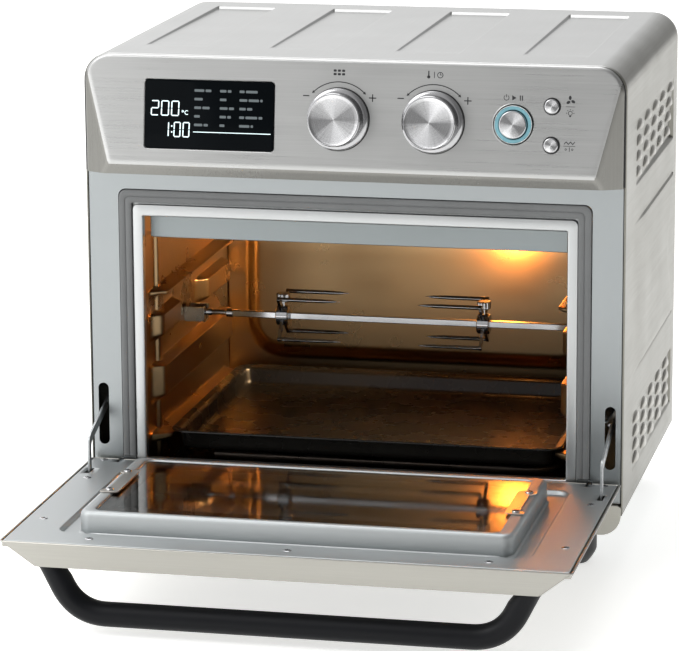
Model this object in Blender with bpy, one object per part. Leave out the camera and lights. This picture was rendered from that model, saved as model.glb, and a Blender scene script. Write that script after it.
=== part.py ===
"""Stainless air fryer oven with a drop-down glass door, shown open, a rotisserie spit and a baking pan.

Metres, +Z up, front towards -Y. The origin is on the floor, under the middle of the object's box.
Every shape is drawn in casing coordinates: x from the centre line, y back from the casing's front
edge, z up from the casing's underside. An empty carries them all to their place above the floor.
"""

import math

import bmesh
import bpy
from mathutils import Matrix, Vector

# Driving dimensions
CASING_WIDTH = 0.410
CASING_HEIGHT = 0.338
CASING_DEPTH = 0.292
SHOULDER_RADIUS = 0.020
SHEET = 0.0008
GAP = 0.0003  # between pieces that touch
FOOT_HEIGHT = 0.045
FRONT_Y = -0.032  # the casing's front edge in the object's own frame

# Oven mouth and cavity
MOUTH_HALF = 0.1622
MOUTH_LOW, MOUTH_HIGH = 0.0252, 0.2143
LIP_WIDTH = 0.0078
GASKET_WIDTH = 0.0098
FRAME_OPENING_HALF = 0.1808
FRAME_OPENING_HIGH = 0.2350
FRAME_LOW, FRAME_HIGH = 0.009, 0.2481
FRAME_RAIL_HIGH = 0.0262
FRAME_Y = 0.001
CHANNEL_Y = 0.005
WALL_X = 0.1634
WALL_LOW, WALL_HIGH = 0.0066, 0.2260
CAVITY_FRONT, CAVITY_BACK = 0.0065, 0.2625
LEDGE_TOPS = (0.0407, 0.0940, 0.1530)
LEDGE_INNER = 0.1490
FAN_Y = 0.135

# Door, drawn open: its length runs forward and its inner face looks up
DOOR_LENGTH = 0.2329
DOOR_REAR = -0.0031
DOOR_TOP = 0.0252
DOOR_THICKNESS = 0.0195
DOOR_SIDE_BEVEL = 0.0235
DOOR_FRONT_BEVEL = 0.0065
DOOR_REAR_BEVEL = 0.0040
PIVOT_Y, PIVOT_Z = -0.0081, 0.0191
BRACKET_X = 0.1810
ARM_X = 0.1955
ARM_PIN = (-0.0400, 0.0225)
RAISED_HALF, RAISED_FRONT, RAISED_REAR = 0.1570, -0.1990, -0.0445
RAISED_TOP = 0.0390
HANDLE_RADIUS = 0.0090
HANDLE_Y = -0.2180
HANDLE_DROP = -0.0300

# Sloping control panel
FASCIA_LOW = 0.2485
FASCIA_TOP_Y, FASCIA_LOW_Y = -0.0030, -0.0145
FASCIA_SIDE_INSET = 0.0230
FASCIA_WALL = 0.0012
FASCIA_SLOPE = (FASCIA_TOP_Y - FASCIA_LOW_Y) / (CASING_HEIGHT - FASCIA_LOW)
CONTROLS_Z = 0.2946
CONTROLS_Y = FASCIA_TOP_Y - FASCIA_SLOPE * (CASING_HEIGHT - CONTROLS_Z)
DISPLAY_X, DISPLAY_WIDTH, DISPLAY_HEIGHT = -0.1065, 0.0990, 0.0512
KNOB_XS = {"function": -0.0078, "temperature": 0.0635}
KNOB_SKIRT_RADIUS, KNOB_RADIUS, KNOB_LENGTH = 0.0230, 0.0198, 0.0180
POWER_X, POWER_RADIUS, RING_RADIUS = 0.1229, 0.0103, 0.0146
SMALL_X, SMALL_RADIUS, SMALL_SPREAD = 0.1514, 0.0054, 0.0142

# Spit
SPIT_Y, SPIT_Z = 0.1280, 0.1130
LAMP_Y, LAMP_Z = 0.1900, 0.1900
SPIT_BAR = 0.0050


# --- scene and helpers -------------------------------------------------------------------------

for old in list(bpy.data.objects):
    bpy.data.objects.remove(old)


def placed_empty(name, location, parent=None, rotation=(0, 0, 0)):
    empty = bpy.data.objects.new(name, None)
    empty.location = location
    empty.rotation_euler = rotation
    empty.parent = parent
    bpy.context.scene.collection.objects.link(empty)
    return empty


CASING = placed_empty("casing_frame", (0, FRONT_Y, FOOT_HEIGHT))
PANEL = placed_empty(
    "panel_frame", (0, CONTROLS_Y, CONTROLS_Z), CASING, (-math.atan(FASCIA_SLOPE), 0, 0)
)


def material(name, colour, roughness, metallic=0.0, alpha=1.0):
    made = bpy.data.materials.new(name)
    made.use_nodes = True
    shader = made.node_tree.nodes["Principled BSDF"]
    shader.inputs["Base Color"].default_value = (*colour, 1)
    shader.inputs["Roughness"].default_value = roughness
    shader.inputs["Metallic"].default_value = metallic
    shader.inputs["Alpha"].default_value = alpha
    return made


STEEL = material("brushed_steel", (0.45, 0.45, 0.43), 0.35, 1)
CAVITY_STEEL = material("cavity_steel", (0.40, 0.38, 0.34), 0.40, 1)
GALVANISED = material("galvanised_steel", (0.37, 0.39, 0.40), 0.45, 1)
CHROME = material("chrome", (0.70, 0.70, 0.70), 0.12, 1)
SILICONE = material("grey_silicone", (0.18, 0.18, 0.18), 0.70)
BLACK_PLASTIC = material("black_plastic", (0.02, 0.02, 0.02), 0.45)
BLACK_HANDLE = material("black_handle", (0.015, 0.018, 0.020), 0.35)
GLASS = material("tinted_glass", (0.05, 0.045, 0.04), 0.05, alpha=0.4)
DISPLAY_GLASS = material("display_glass", (0.01, 0.015, 0.02), 0.10)
LIGHT_BLUE = material("lit_ring", (0.25, 0.60, 0.70), 0.40)
ENAMEL = material("black_enamel", (0.015, 0.014, 0.013), 0.25)
CIRCUIT = material("circuit_board", (0.05, 0.20, 0.08), 0.60)
HEATER = material("heater_tube", (0.12, 0.10, 0.09), 0.55, 1)


def finish(name, bm, look, smooth=True):
    """Turns bm into a named object of the casing's frame."""
    bmesh.ops.recalc_face_normals(bm, faces=bm.faces)
    mesh = bpy.data.meshes.new(name)
    bm.to_mesh(mesh)
    bm.free()
    if smooth:
        mesh.shade_smooth()
        mesh.set_sharp_from_angle(angle=math.radians(35))
    mesh.materials.append(look)
    obj = bpy.data.objects.new(name, mesh)
    obj.parent = CASING
    bpy.context.scene.collection.objects.link(obj)
    return obj


def helper(obj):
    obj.hide_render = True
    obj.display_type = "WIRE"
    return obj


def boolean(obj, operation, others):
    for other in others:
        modifier = obj.modifiers.new(f"{operation.lower()}_{other.name}", "BOOLEAN")
        modifier.operation = operation
        modifier.object = helper(other)
    return obj


def cut(obj, *cutters):
    return boolean(obj, "DIFFERENCE", cutters)


def join(obj, *others):
    return boolean(obj, "UNION", others)


def move_origin(obj, point):
    """Puts the object's origin on its joint's axis and leaves its shape where it is."""
    obj.data.transform(Matrix.Translation(-Vector(point)))
    obj.location = point
    return obj


def on_panel(obj):
    obj.parent = PANEL
    return obj


def box(name, low, high, look=STEEL):
    bm = bmesh.new()
    bmesh.ops.create_cube(bm, size=1)
    size = Vector(high) - Vector(low)
    bmesh.ops.scale(bm, vec=size, verts=bm.verts)
    bmesh.ops.translate(bm, vec=(Vector(high) + Vector(low)) / 2, verts=bm.verts)
    return finish(name, bm, look, smooth=False)


# For each axis: the directions of an outline's first and second coordinate, and the axis itself
AXES = {
    "X": ((0, 1, 0), (0, 0, 1), (1, 0, 0)),
    "Y": ((1, 0, 0), (0, 0, 1), (0, 1, 0)),
    "Z": ((1, 0, 0), (0, 1, 0), (0, 0, 1)),
}


def prism_mesh(points, axis, low, high):
    """A closed outline of two coordinates, extruded along axis from low to high."""
    first, second, along = (Vector(v) for v in AXES[axis])
    bm = bmesh.new()
    face = bm.faces.new([bm.verts.new(first * a + second * b + along * low) for a, b in points])
    made = bmesh.ops.extrude_face_region(bm, geom=[face])
    moved = [v for v in made["geom"] if isinstance(v, bmesh.types.BMVert)]
    bmesh.ops.translate(bm, vec=along * (high - low), verts=moved)
    return bm


def prism(name, points, axis, low, high, look=STEEL):
    return finish(name, prism_mesh(points, axis, low, high), look)


def arc(centre, radius, start, end, steps):
    """Points of an arc, angles in degrees."""
    angles = [math.radians(start + (end - start) * i / steps) for i in range(steps + 1)]
    return [(centre[0] + radius * math.cos(a), centre[1] + radius * math.sin(a)) for a in angles]


def circle(centre, radius, steps):
    return arc(centre, radius, 0, 360, steps)[:-1]


def rounded_rectangle(low, high, radii, steps=4):
    """radii of the corners: low left, low right, high right, high left."""
    (x0, z0), (x1, z1) = low, high
    corners = [((x0, z0), (1, 1), 180), ((x1, z0), (-1, 1), 270)]
    corners += [((x1, z1), (-1, -1), 0), ((x0, z1), (1, -1), 90)]
    points = []
    for (corner, inward, start), radius in zip(corners, radii):
        if radius == 0:
            points.append(corner)
            continue
        centre = (corner[0] + inward[0] * radius, corner[1] + inward[1] * radius)
        points += arc(centre, radius, start, start + 90, steps)
    return points


def turned(name, profile, axis, centre, look, segments=24):
    """Turns a closed profile of (distance from the axis, place along it) round the axis through centre."""
    first, second, along = (Vector(v) for v in AXES[axis])
    bm = bmesh.new()
    rings = []
    for radius, place in profile:
        if radius == 0:
            rings.append([bm.verts.new(along * place)])
            continue
        angles = [2 * math.pi * i / segments for i in range(segments)]
        rings.append(
            [
                bm.verts.new((first * math.cos(a) + second * math.sin(a)) * radius + along * place)
                for a in angles
            ]
        )
    for one, two in zip(rings, rings[1:] + rings[:1]):
        if len(one) == len(two) == 1:
            continue
        for i in range(segments):
            j = (i + 1) % segments
            corners = [one[i % len(one)], one[j % len(one)], two[j % len(two)], two[i % len(two)]]
            bm.faces.new(dict.fromkeys(corners))
    bmesh.ops.translate(bm, vec=centre, verts=bm.verts)
    return finish(name, bm, look)


def tube(name, points, radius, look, resolution=2):
    """A round bar along a list of points, with closed ends."""
    curve = bpy.data.curves.new(name, "CURVE")
    curve.dimensions = "3D"
    curve.bevel_depth = radius
    curve.bevel_resolution = resolution
    curve.use_fill_caps = True
    curve.materials.append(look)
    spline = curve.splines.new("POLY")
    spline.points.add(len(points) - 1)
    for place, point in zip(spline.points, points):
        place.co = (*point, 1)
    obj = bpy.data.objects.new(name, curve)
    obj.parent = CASING
    bpy.context.scene.collection.objects.link(obj)
    return obj


def ring_plate(name, outer, inner, y0, y1, look=STEEL, radii=(0, 0, 0, 0)):
    """An upright plate with a rectangular hole; outer and inner are (half width, low, high)."""
    outline = rounded_rectangle((-outer[0], outer[1]), (outer[0], outer[2]), radii)
    plate = prism(name, outline, "Y", y0, y1, look)
    hole = box(f"{name}_hole", (-inner[0], y0 - 0.002, inner[1]), (inner[0], y1 + 0.002, inner[2]))
    return cut(plate, hole)


def both_sides(build):
    """Runs build(name suffix, sign) for the left side (-1) and the right side (1)."""
    for suffix, sign in (("left", -1), ("right", 1)):
        build(suffix, sign)


def side_span(sign, near, far):
    """Low and high x of a stretch from near to far on one side."""
    return (near, far) if sign > 0 else (-far, -near)


# --- housing -----------------------------------------------------------------------------------

HALF = CASING_WIDTH / 2


def wrap_path(half, high, radius, steps=6):
    """The casing's section from its left foot over both shoulders to its right foot."""
    return (
        [(-half, 0)]
        + arc((-half + radius, high - radius), radius, 180, 90, steps)
        + arc((half - radius, high - radius), radius, 90, 0, steps)
        + [(half, 0)]
    )


def build_casing():
    outer = wrap_path(HALF, CASING_HEIGHT, SHOULDER_RADIUS)
    inner = wrap_path(HALF - SHEET, CASING_HEIGHT - SHEET, SHOULDER_RADIUS - SHEET)
    prism("outer_casing", outer + inner[::-1], "Y", 0, CASING_DEPTH)


def build_rear_cover():
    shoulders = (0, 0, SHOULDER_RADIUS, SHOULDER_RADIUS)
    outline = rounded_rectangle((-HALF, 0), (HALF, CASING_HEIGHT), shoulders, 6)
    y0 = CASING_DEPTH + GAP
    cover = prism("rear_cover", outline, "Y", y0, y0 + 0.001)
    slots = [
        box(f"rear_slot_{i}_{side}", (x - 0.035, y0 - 0.002, z), (x + 0.035, y0 + 0.004, z + 0.004))
        for i, z in enumerate((0.250, 0.262, 0.274, 0.286))
        for side, x in enumerate((-0.095, 0.095))
    ]
    inlet = prism("inlet_hole", circle((-0.150, 0.060), 0.0080, 16), "Y", y0 - 0.002, y0 + 0.004)
    cut(cover, inlet, *slots)


def build_base_pan():
    base = box("base_pan", (-HALF + 0.0015, 0.0040, 0.0005), (HALF - 0.0015, CASING_DEPTH - 0.001, 0.0015))
    slots = [
        box(f"base_slot_{i}", (-0.060, y, -0.002), (0.060, y + 0.005, 0.004))
        for i, y in enumerate((0.090, 0.105, 0.120, 0.135, 0.150))
    ]
    cut(base, *slots)


def build_front_frame():
    y0, y1 = FRAME_Y, FRAME_Y + 0.001
    half = HALF - 0.0015
    frame = prism(
        "front_frame", rounded_rectangle((-half, FRAME_LOW), (half, FRAME_HIGH), (0, 0, 0, 0)), "Y", y0, y1
    )
    opening = prism(
        "frame_opening",
        rounded_rectangle(
            (-FRAME_OPENING_HALF, FRAME_RAIL_HIGH),
            (FRAME_OPENING_HALF, FRAME_OPENING_HIGH),
            (0, 0, 0.006, 0.006),
        ),
        "Y",
        y0 - 0.002,
        y1 + 0.002,
    )
    lip_half = MOUTH_HALF + LIP_WIDTH + 0.0004
    lip_opening = box(
        "frame_lip_opening",
        (-lip_half, y0 - 0.002, MOUTH_LOW - LIP_WIDTH - 0.0004),
        (lip_half, y1 + 0.002, FRAME_RAIL_HIGH + 0.01),
    )
    cutters = [opening, lip_opening]
    for suffix, sign in (("left", -1), ("right", 1)):
        cx = sign * ARM_X
        slot = rounded_rectangle((cx - 0.0041, 0.0348), (cx + 0.0041, 0.0832), (0.0041,) * 4)
        cutters.append(prism(f"arm_slot_{suffix}", slot, "Y", y0 - 0.002, y1 + 0.002))
        x0, x1 = side_span(sign, BRACKET_X - 0.0022, BRACKET_X + 0.0022)
        cutters.append(box(f"bracket_slot_{suffix}", (x0, y0 - 0.002, 0.0135), (x1, y1 + 0.002, 0.0247)))
    cut(frame, *cutters)


def build_cavity_lip():
    """Front flange of the cavity: lip, a web behind it, and the floor of the gasket's channel."""
    outer = (MOUTH_HALF + LIP_WIDTH, MOUTH_LOW - LIP_WIDTH, MOUTH_HIGH + LIP_WIDTH + 0.0010)
    mouth = (MOUTH_HALF, MOUTH_LOW, MOUTH_HIGH)
    lip = ring_plate("cavity_lip", outer, mouth, FRAME_Y, FRAME_Y + SHEET, CAVITY_STEEL)
    web_inner = (outer[0] - SHEET, outer[1] + SHEET, outer[2] - SHEET)
    web = ring_plate("lip_web", outer, web_inner, FRAME_Y + SHEET / 2, CHANNEL_Y + SHEET)
    channel_outer = (FRAME_OPENING_HALF - GAP, FRAME_RAIL_HIGH + GAP, FRAME_OPENING_HIGH - GAP)
    channel_inner = (outer[0] - SHEET / 2, FRAME_RAIL_HIGH - 0.01, outer[2] - SHEET / 2)
    channel = ring_plate("gasket_channel", channel_outer, channel_inner, CHANNEL_Y, CHANNEL_Y + SHEET)
    join(lip, web, channel)


def build_gasket():
    """Silicone seal on both sides and the top, standing 2 mm proud of the frame."""
    inner_half = MOUTH_HALF + LIP_WIDTH + 0.0004
    high = FRAME_OPENING_HIGH - 0.0004
    outline = rounded_rectangle(
        (-inner_half - GASKET_WIDTH, FRAME_RAIL_HIGH + GAP),
        (inner_half + GASKET_WIDTH, high),
        (0, 0, 0.0055, 0.0055),
    )
    gasket = prism("door_gasket", outline, "Y", -0.0010, CHANNEL_Y - 0.0004, SILICONE)
    hole = prism(
        "gasket_hole",
        rounded_rectangle((-inner_half, 0), (inner_half, high - GASKET_WIDTH - 0.0014), (0, 0, 0.001, 0.001)),
        "Y",
        -0.004,
        0.010,
    )
    cut(gasket, hole)


def build_lower_trim():
    half = HALF - 0.0005
    outline = rounded_rectangle((-half, -0.0145), (half, 0.0085), (0.0150, 0.0150, 0.003, 0.003))
    prism("lower_trim", outline, "Y", -0.0035, -GAP)


def build_cavity_wall(suffix, sign):
    x0, x1 = side_span(sign, WALL_X, WALL_X + SHEET)
    wall = box(
        f"cavity_{suffix}_wall", (x0, CAVITY_FRONT, WALL_LOW), (x1, CAVITY_BACK, WALL_HIGH), CAVITY_STEEL
    )
    ledges = []
    for level, top in enumerate(LEDGE_TOPS):
        section = [
            (sign * (WALL_X + SHEET / 2), top - 0.0090),
            (sign * LEDGE_INNER, top - 0.0035),
            (sign * LEDGE_INNER, top),
            (sign * (WALL_X + SHEET / 2), top),
        ]
        ledges.append(prism(f"ledge_{suffix}_{level}", section, "Y", 0.0160, 0.2500))
    join(wall, *ledges)
    if sign > 0:
        shaft_hole = prism("shaft_hole", circle((SPIT_Y, SPIT_Z), 0.0045, 12), "X", 0.155, 0.175)
        lamp_hole = prism("lamp_hole", circle((LAMP_Y, LAMP_Z), 0.0170, 20), "X", 0.155, 0.175)
        cut(wall, shaft_hole, lamp_hole)


def build_cavity():
    both_sides(build_cavity_wall)
    half = WALL_X + SHEET
    ceiling_low = WALL_HIGH + GAP
    ceiling = box(
        "cavity_ceiling",
        (-half, CAVITY_FRONT, ceiling_low),
        (half, CAVITY_BACK, ceiling_low + SHEET),
        CAVITY_STEEL,
    )
    hole = prism("fan_hole", circle((0, FAN_Y), 0.0750, 32), "Z", ceiling_low - 0.004, ceiling_low + 0.004)
    cut(ceiling, hole)
    floor_high = WALL_LOW - 0.0004
    box(
        "cavity_floor",
        (-half, CAVITY_FRONT, floor_high - SHEET),
        (half, CAVITY_BACK, floor_high),
        CAVITY_STEEL,
    )
    back = CAVITY_BACK + GAP
    box(
        "cavity_back",
        (-half, back, floor_high - SHEET),
        (half, back + SHEET, ceiling_low + SHEET),
        CAVITY_STEEL,
    )


def build_heater_shield():
    section = [(0.0160, 0.1955), (0.0300, 0.1955), (0.0300, 0.1963)]
    section += [(0.0168, 0.1963), (0.0168, 0.2255), (0.0160, 0.2255)]
    prism("heater_shield", section, "X", -0.1600, 0.1600, GALVANISED)


def serpentine(runs, half, z, bend_steps=5):
    """A flat path that crosses from side to side along each run, joined by half circles."""
    points = []
    side = -1
    for index, y in enumerate(runs):
        points.append((side * half, y, z))
        side = -side
        points.append((side * half, y, z))
        if index + 1 == len(runs):
            break
        radius = (runs[index + 1] - y) / 2
        for step in range(1, bend_steps):
            angle = math.pi * step / bend_steps
            points.append((side * (half + radius * math.sin(angle)), y + radius * (1 - math.cos(angle)), z))
    return points


def build_heaters():
    tube("upper_heater", serpentine((0.046, 0.090, 0.134, 0.178, 0.222), 0.125, 0.2120), 0.0030, HEATER)
    tube("lower_heater", serpentine((0.055, 0.103, 0.151, 0.199), 0.122, 0.0170), 0.0028, HEATER)


def build_fan_housing():
    centre = (0, FAN_Y, 0)
    low = WALL_HIGH + GAP + SHEET + GAP
    profile = [(0.0060, low + 0.0290), (0.0920, low + 0.0290), (0.0920, low + 0.0010), (0.1000, low + 0.0010)]
    profile += [(0.1000, low), (0.0912, low), (0.0912, low + 0.0282), (0.0060, low + 0.0282)]
    turned("fan_shroud", profile, "Z", centre, GALVANISED, 24)
    guard_low = WALL_HIGH + GAP
    guard = turned(
        "fan_guard",
        [(0, guard_low), (0.0746, guard_low), (0.0746, guard_low + 0.001), (0, guard_low + 0.001)],
        "Z", centre, CAVITY_STEEL, 32,
    )
    slots = []
    for index in range(12):
        corners = ((0.022, -0.0042, guard_low - 0.004), (0.066, 0.0042, guard_low + 0.004))
        slot = box(f"guard_slot_{index}", *corners)
        slot.data.transform(Matrix.Rotation(2 * math.pi * index / 12, 4, "Z"))
        slot.data.transform(Matrix.Translation(centre))
        slots.append(slot)
    cut(guard, *slots)
    motor_low = low + 0.0365
    turned(
        "fan_motor",
        [(0, motor_low), (0.012, motor_low), (0.012, motor_low + 0.004), (0.030, motor_low + 0.004)]
        + [(0.030, motor_low + 0.036), (0.010, motor_low + 0.036)]
        + [(0.010, motor_low + 0.042), (0, motor_low + 0.042)],
        "Z",
        centre,
        GALVANISED,
    )


def build_lamp():
    corners = ((LAMP_Y - 0.023, LAMP_Z - 0.021), (LAMP_Y + 0.023, LAMP_Z + 0.021))
    lens = rounded_rectangle(*corners, (0.008,) * 4)
    prism("lamp_lens", lens, "X", WALL_X - GAP - 0.004, WALL_X - GAP, GLASS)
    profile = [(0, -0.022), (0.0085, -0.022), (0.0085, -0.006), (0.0060, -0.004)]
    profile += [(0.0060, 0.016), (0.003, 0.020), (0, 0.021)]
    turned("lamp_bulb", profile, "Y", (0.178, LAMP_Y, LAMP_Z), GLASS, 16)


def build_spit_mount():
    """The open bearing on the left wall and the gear motor behind the right one."""
    x_face = -0.1480
    depth, low, high = 0.0080, SPIT_Z - 0.0075, SPIT_Z + 0.0050
    corners = ((x_face, SPIT_Y - depth, low), (x_face + 0.0012, SPIT_Y + depth, high))
    bracket = box("spit_bracket", *corners, CHROME)
    flanges = [
        box(f"bracket_flange_{i}", (-WALL_X + GAP, y, low), (x_face + 0.0006, y + 0.0010, high))
        for i, y in enumerate((SPIT_Y - depth, SPIT_Y + depth - 0.0010))
    ]
    corners = ((SPIT_Y - 0.0033, SPIT_Z - 0.0033), (SPIT_Y + 0.0033, high + 0.005))
    notch = rounded_rectangle(*corners, (0.0032, 0.0032, 0, 0))
    join(bracket, *flanges)
    cut(bracket, prism("bracket_notch", notch, "X", x_face - 0.005, x_face + 0.005))
    corners = ((0.1700, SPIT_Y - 0.028, SPIT_Z - 0.028), (0.1960, SPIT_Y + 0.028, SPIT_Z + 0.028))
    motor = box("spit_motor", *corners, GALVANISED)
    bevel = motor.modifiers.new("edges", "BEVEL")
    bevel.width = 0.003
    bevel.segments = 2


def build_cord_inlet():
    y0 = CASING_DEPTH + GAP + 0.001 + GAP
    profile = [(0, 0.3000), (0.0090, 0.3000), (0.0120, y0 + 0.0020), (0.0120, y0), (0.0076, y0)]
    profile += [(0.0076, CASING_DEPTH - 0.004), (0, CASING_DEPTH - 0.004)]
    turned("cord_inlet", profile, "Y", (-0.150, 0, 0.060), BLACK_PLASTIC, 20)


def build_feet():
    profile = [(0, -FOOT_HEIGHT), (0.0120, -FOOT_HEIGHT), (0.0170, -0.037)]
    profile += [(0.0180, -0.033), (0.0180, -GAP), (0, -GAP)]
    for row, y in (("front", 0.030), ("rear", 0.262)):
        for suffix, sign in (("left", -1), ("right", 1)):
            turned(f"foot_{row}_{suffix}", profile, "Z", (sign * 0.164, y, 0), BLACK_PLASTIC, 24)


# --- door hinge --------------------------------------------------------------------------------


def build_hinge_bracket(suffix, sign):
    """A plate through the frame's slot with a hole for the door's pin, and a foot behind the frame."""
    x0, x1 = side_span(sign, BRACKET_X - SHEET, BRACKET_X + SHEET)
    z0, z1 = PIVOT_Z - 0.0045, PIVOT_Z + 0.0045
    outline = [(0.0120, z0), (0.0120, z1)] + arc((PIVOT_Y, PIVOT_Z), 0.0045, 90, 270, 8)
    bracket = prism(f"hinge_bracket_{suffix}", outline, "X", x0, x1, GALVANISED)
    fx0, fx1 = side_span(sign, BRACKET_X, BRACKET_X + 0.012)
    foot = box(f"bracket_foot_{suffix}", (fx0, 0.0023, z0), (fx1, 0.0039, z1))
    hole = prism(f"pin_hole_{suffix}", circle((PIVOT_Y, PIVOT_Z), 0.0027, 12), "X", x0 - 0.003, x1 + 0.003)
    join(bracket, foot)
    cut(bracket, hole)


def build_hinge_pin(suffix, sign):
    x0, x1 = side_span(sign, 0.1752, 0.1868)
    prism(f"hinge_pin_{suffix}", circle((PIVOT_Y, PIVOT_Z), 0.0023, 12), "X", x0, x1, CHROME)


def build_hinge_arm(suffix, sign):
    """Flat bent arm from its pin under the door's inner panel to the slot in the frame."""
    x0, x1 = side_span(sign, ARM_X - SHEET, ARM_X + SHEET)
    outline = arc(ARM_PIN, 0.0030, 180, 360, 6) + [(-0.0370, 0.0430), (-0.0340, 0.0460), (0.0150, 0.0605)]
    outline += [(0.0190, 0.0640), (0.0190, 0.0700), (0.0140, 0.0730), (-0.0390, 0.0545), (-0.0430, 0.0500)]
    arm = prism(f"hinge_arm_{suffix}", outline, "X", x0, x1, GALVANISED)
    px0, px1 = side_span(sign, ARM_X - 0.0036, ARM_X)
    pin = prism(f"arm_pin_{suffix}", circle((0.0125, 0.0665), 0.0020, 10), "X", px0, px1)
    join(arm, pin)
    for obj in (arm, pin):
        move_origin(obj, (sign * ARM_X, *ARM_PIN))


def build_hinge_spring(suffix, sign):
    """Close-wound pull spring behind the frame, its turns as ripples, with an eye at each end."""
    start, end, pitch, radius = 0.0260, 0.0980, 0.0045, 0.0035
    profile = [(0, start), (radius * 0.7, start)]
    for turn in range(round((end - start) / pitch)):
        profile += [(radius, start + pitch * (turn + 0.5)), (radius * 0.78, start + pitch * (turn + 1))]
    profile.append((0, profile[-1][1]))
    centre = (sign * 0.1872, 0, 0.0665)
    spring = turned(f"hinge_spring_{suffix}", profile, "Y", centre, GALVANISED, 10)
    cx = centre[0]
    eyes = [
        box(f"spring_eye_{suffix}_{i}", (cx - 0.0007, y0, 0.0640), (cx + 0.0007, y1, 0.0690))
        for i, (y0, y1) in enumerate(((0.0200, 0.0270), (0.0970, 0.1040)))
    ]
    join(spring, *eyes)


# --- door --------------------------------------------------------------------------------------

DOOR_FRONT = DOOR_REAR - DOOR_LENGTH
DOOR_LOW = DOOR_TOP - DOOR_THICKNESS


def frustum(name, inset, top, low, look=STEEL):
    """The door's bevelled block, every side moved in by inset."""
    sides = [
        [HALF, DOOR_REAR, DOOR_FRONT, DOOR_TOP],
        [HALF - DOOR_SIDE_BEVEL, DOOR_REAR - DOOR_REAR_BEVEL, DOOR_FRONT + DOOR_FRONT_BEVEL, DOOR_LOW],
    ]
    bm = bmesh.new()
    loops = []
    for z in (top, low):
        share = (DOOR_TOP - z) / DOOR_THICKNESS
        half, rear, front, _ = (a + (b - a) * share for a, b in zip(*sides))
        corners = [
            (-half + inset, front + inset), (half - inset, front + inset),
            (half - inset, rear - inset), (-half + inset, rear - inset),
        ]
        loops.append([bm.verts.new((x, y, z)) for x, y in corners])
    bm.faces.new(loops[0])
    bm.faces.new(loops[1][::-1])
    for i in range(4):
        j = (i + 1) % 4
        bm.faces.new([loops[0][i], loops[1][i], loops[1][j], loops[0][j]])
    return finish(name, bm, look, smooth=False)


def hinge_notch(name, sign):
    """Clearance for the fixed bracket, cut through the door's rear wall and inner panel."""
    x0, x1 = side_span(sign, BRACKET_X - 0.0022, BRACKET_X + 0.0022)
    return box(name, (x0, -0.0145, 0.0125), (x1, 0.003, DOOR_TOP + 0.003))


def build_door_shell():
    shell = frustum("door_outer_shell", 0, DOOR_TOP, DOOR_LOW)
    hollow = frustum("shell_hollow", 0.0011, DOOR_TOP + 0.004, DOOR_LOW + SHEET)
    window = box("shell_window", (-0.1400, -0.1850, 0), (0.1400, -0.0550, 0.012))
    cut(shell, hollow, window)
    ears = []
    for suffix, sign in (("left", -1), ("right", 1)):
        for index, near in enumerate((0.1768, 0.1837)):
            x0, x1 = side_span(sign, near, near + 0.0016)
            section = [(-0.0031, 0.0240), (-0.0180, 0.0240), (-0.0180, 0.0120), (-0.0080, 0.0120)]
            ear = prism(f"ear_{suffix}_{index}", section, "X", x0, x1)
            ring = circle((PIVOT_Y, PIVOT_Z), 0.0026, 12)
            hole = prism(f"ear_hole_{suffix}_{index}", ring, "X", x0 - 0.002, x1 + 0.002)
            ears.append(cut(ear, hole))
    join(shell, *ears)
    cut(shell, hinge_notch("shell_notch_left", -1), hinge_notch("shell_notch_right", 1))


def build_door_inner_panel():
    """Panel inside the shell's rim, with the raised frame that holds the inner pane."""
    groove = 0.0026
    half = HALF - groove
    rear, front = DOOR_REAR - groove, DOOR_FRONT + groove
    z0 = DOOR_TOP - SHEET
    panel = box("door_inner_panel", (-half, front, z0), (half, rear, DOOR_TOP))
    raised = rounded_rectangle((-RAISED_HALF, RAISED_FRONT), (RAISED_HALF, RAISED_REAR), (0.006,) * 4)
    inset = SHEET
    hollow = rounded_rectangle(
        (-RAISED_HALF + inset, RAISED_FRONT + inset),
        (RAISED_HALF - inset, RAISED_REAR - inset),
        (0.0052,) * 4,
    )
    view = rounded_rectangle((-0.1465, -0.1920), (0.1465, -0.0520), (0.004,) * 4)
    join(panel, prism("raised_block", raised, "Z", z0, RAISED_TOP))
    cut(
        panel,
        prism("raised_hollow", hollow, "Z", z0 - 0.004, RAISED_TOP - SHEET),
        prism("view_opening", view, "Z", z0 - 0.004, RAISED_TOP + 0.004),
        hinge_notch("panel_notch_left", -1),
        hinge_notch("panel_notch_right", 1),
    )
    for suffix, sign in (("left", -1), ("right", 1)):
        x0, x1 = side_span(sign, ARM_X - 0.0023, ARM_X + 0.0023)
        slot = box(f"panel_arm_slot_{suffix}", (x0, -0.0500, z0 - 0.004), (x1, -0.0340, DOOR_TOP + 0.004))
        cut(panel, slot)


def build_door_glass():
    low = DOOR_LOW + 0.0011
    box("door_outer_glass", (-0.1470, -0.1910, low), (0.1470, -0.0490, low + 0.0032), GLASS)
    top = RAISED_TOP - SHEET - GAP
    box("door_inner_glass", (-0.1540, -0.1965, top - 0.0036), (0.1540, -0.0475, top), GLASS)


def build_glass_clip(suffix, sign):
    x0, x1 = side_span(sign, 0.1410, 0.1560)
    outline = rounded_rectangle((x0, -0.1480), (x1, -0.0870), (0.002,) * 4, 2)
    prism(f"glass_clip_{suffix}", outline, "Z", RAISED_TOP + GAP, RAISED_TOP + GAP + 0.001)


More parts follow.
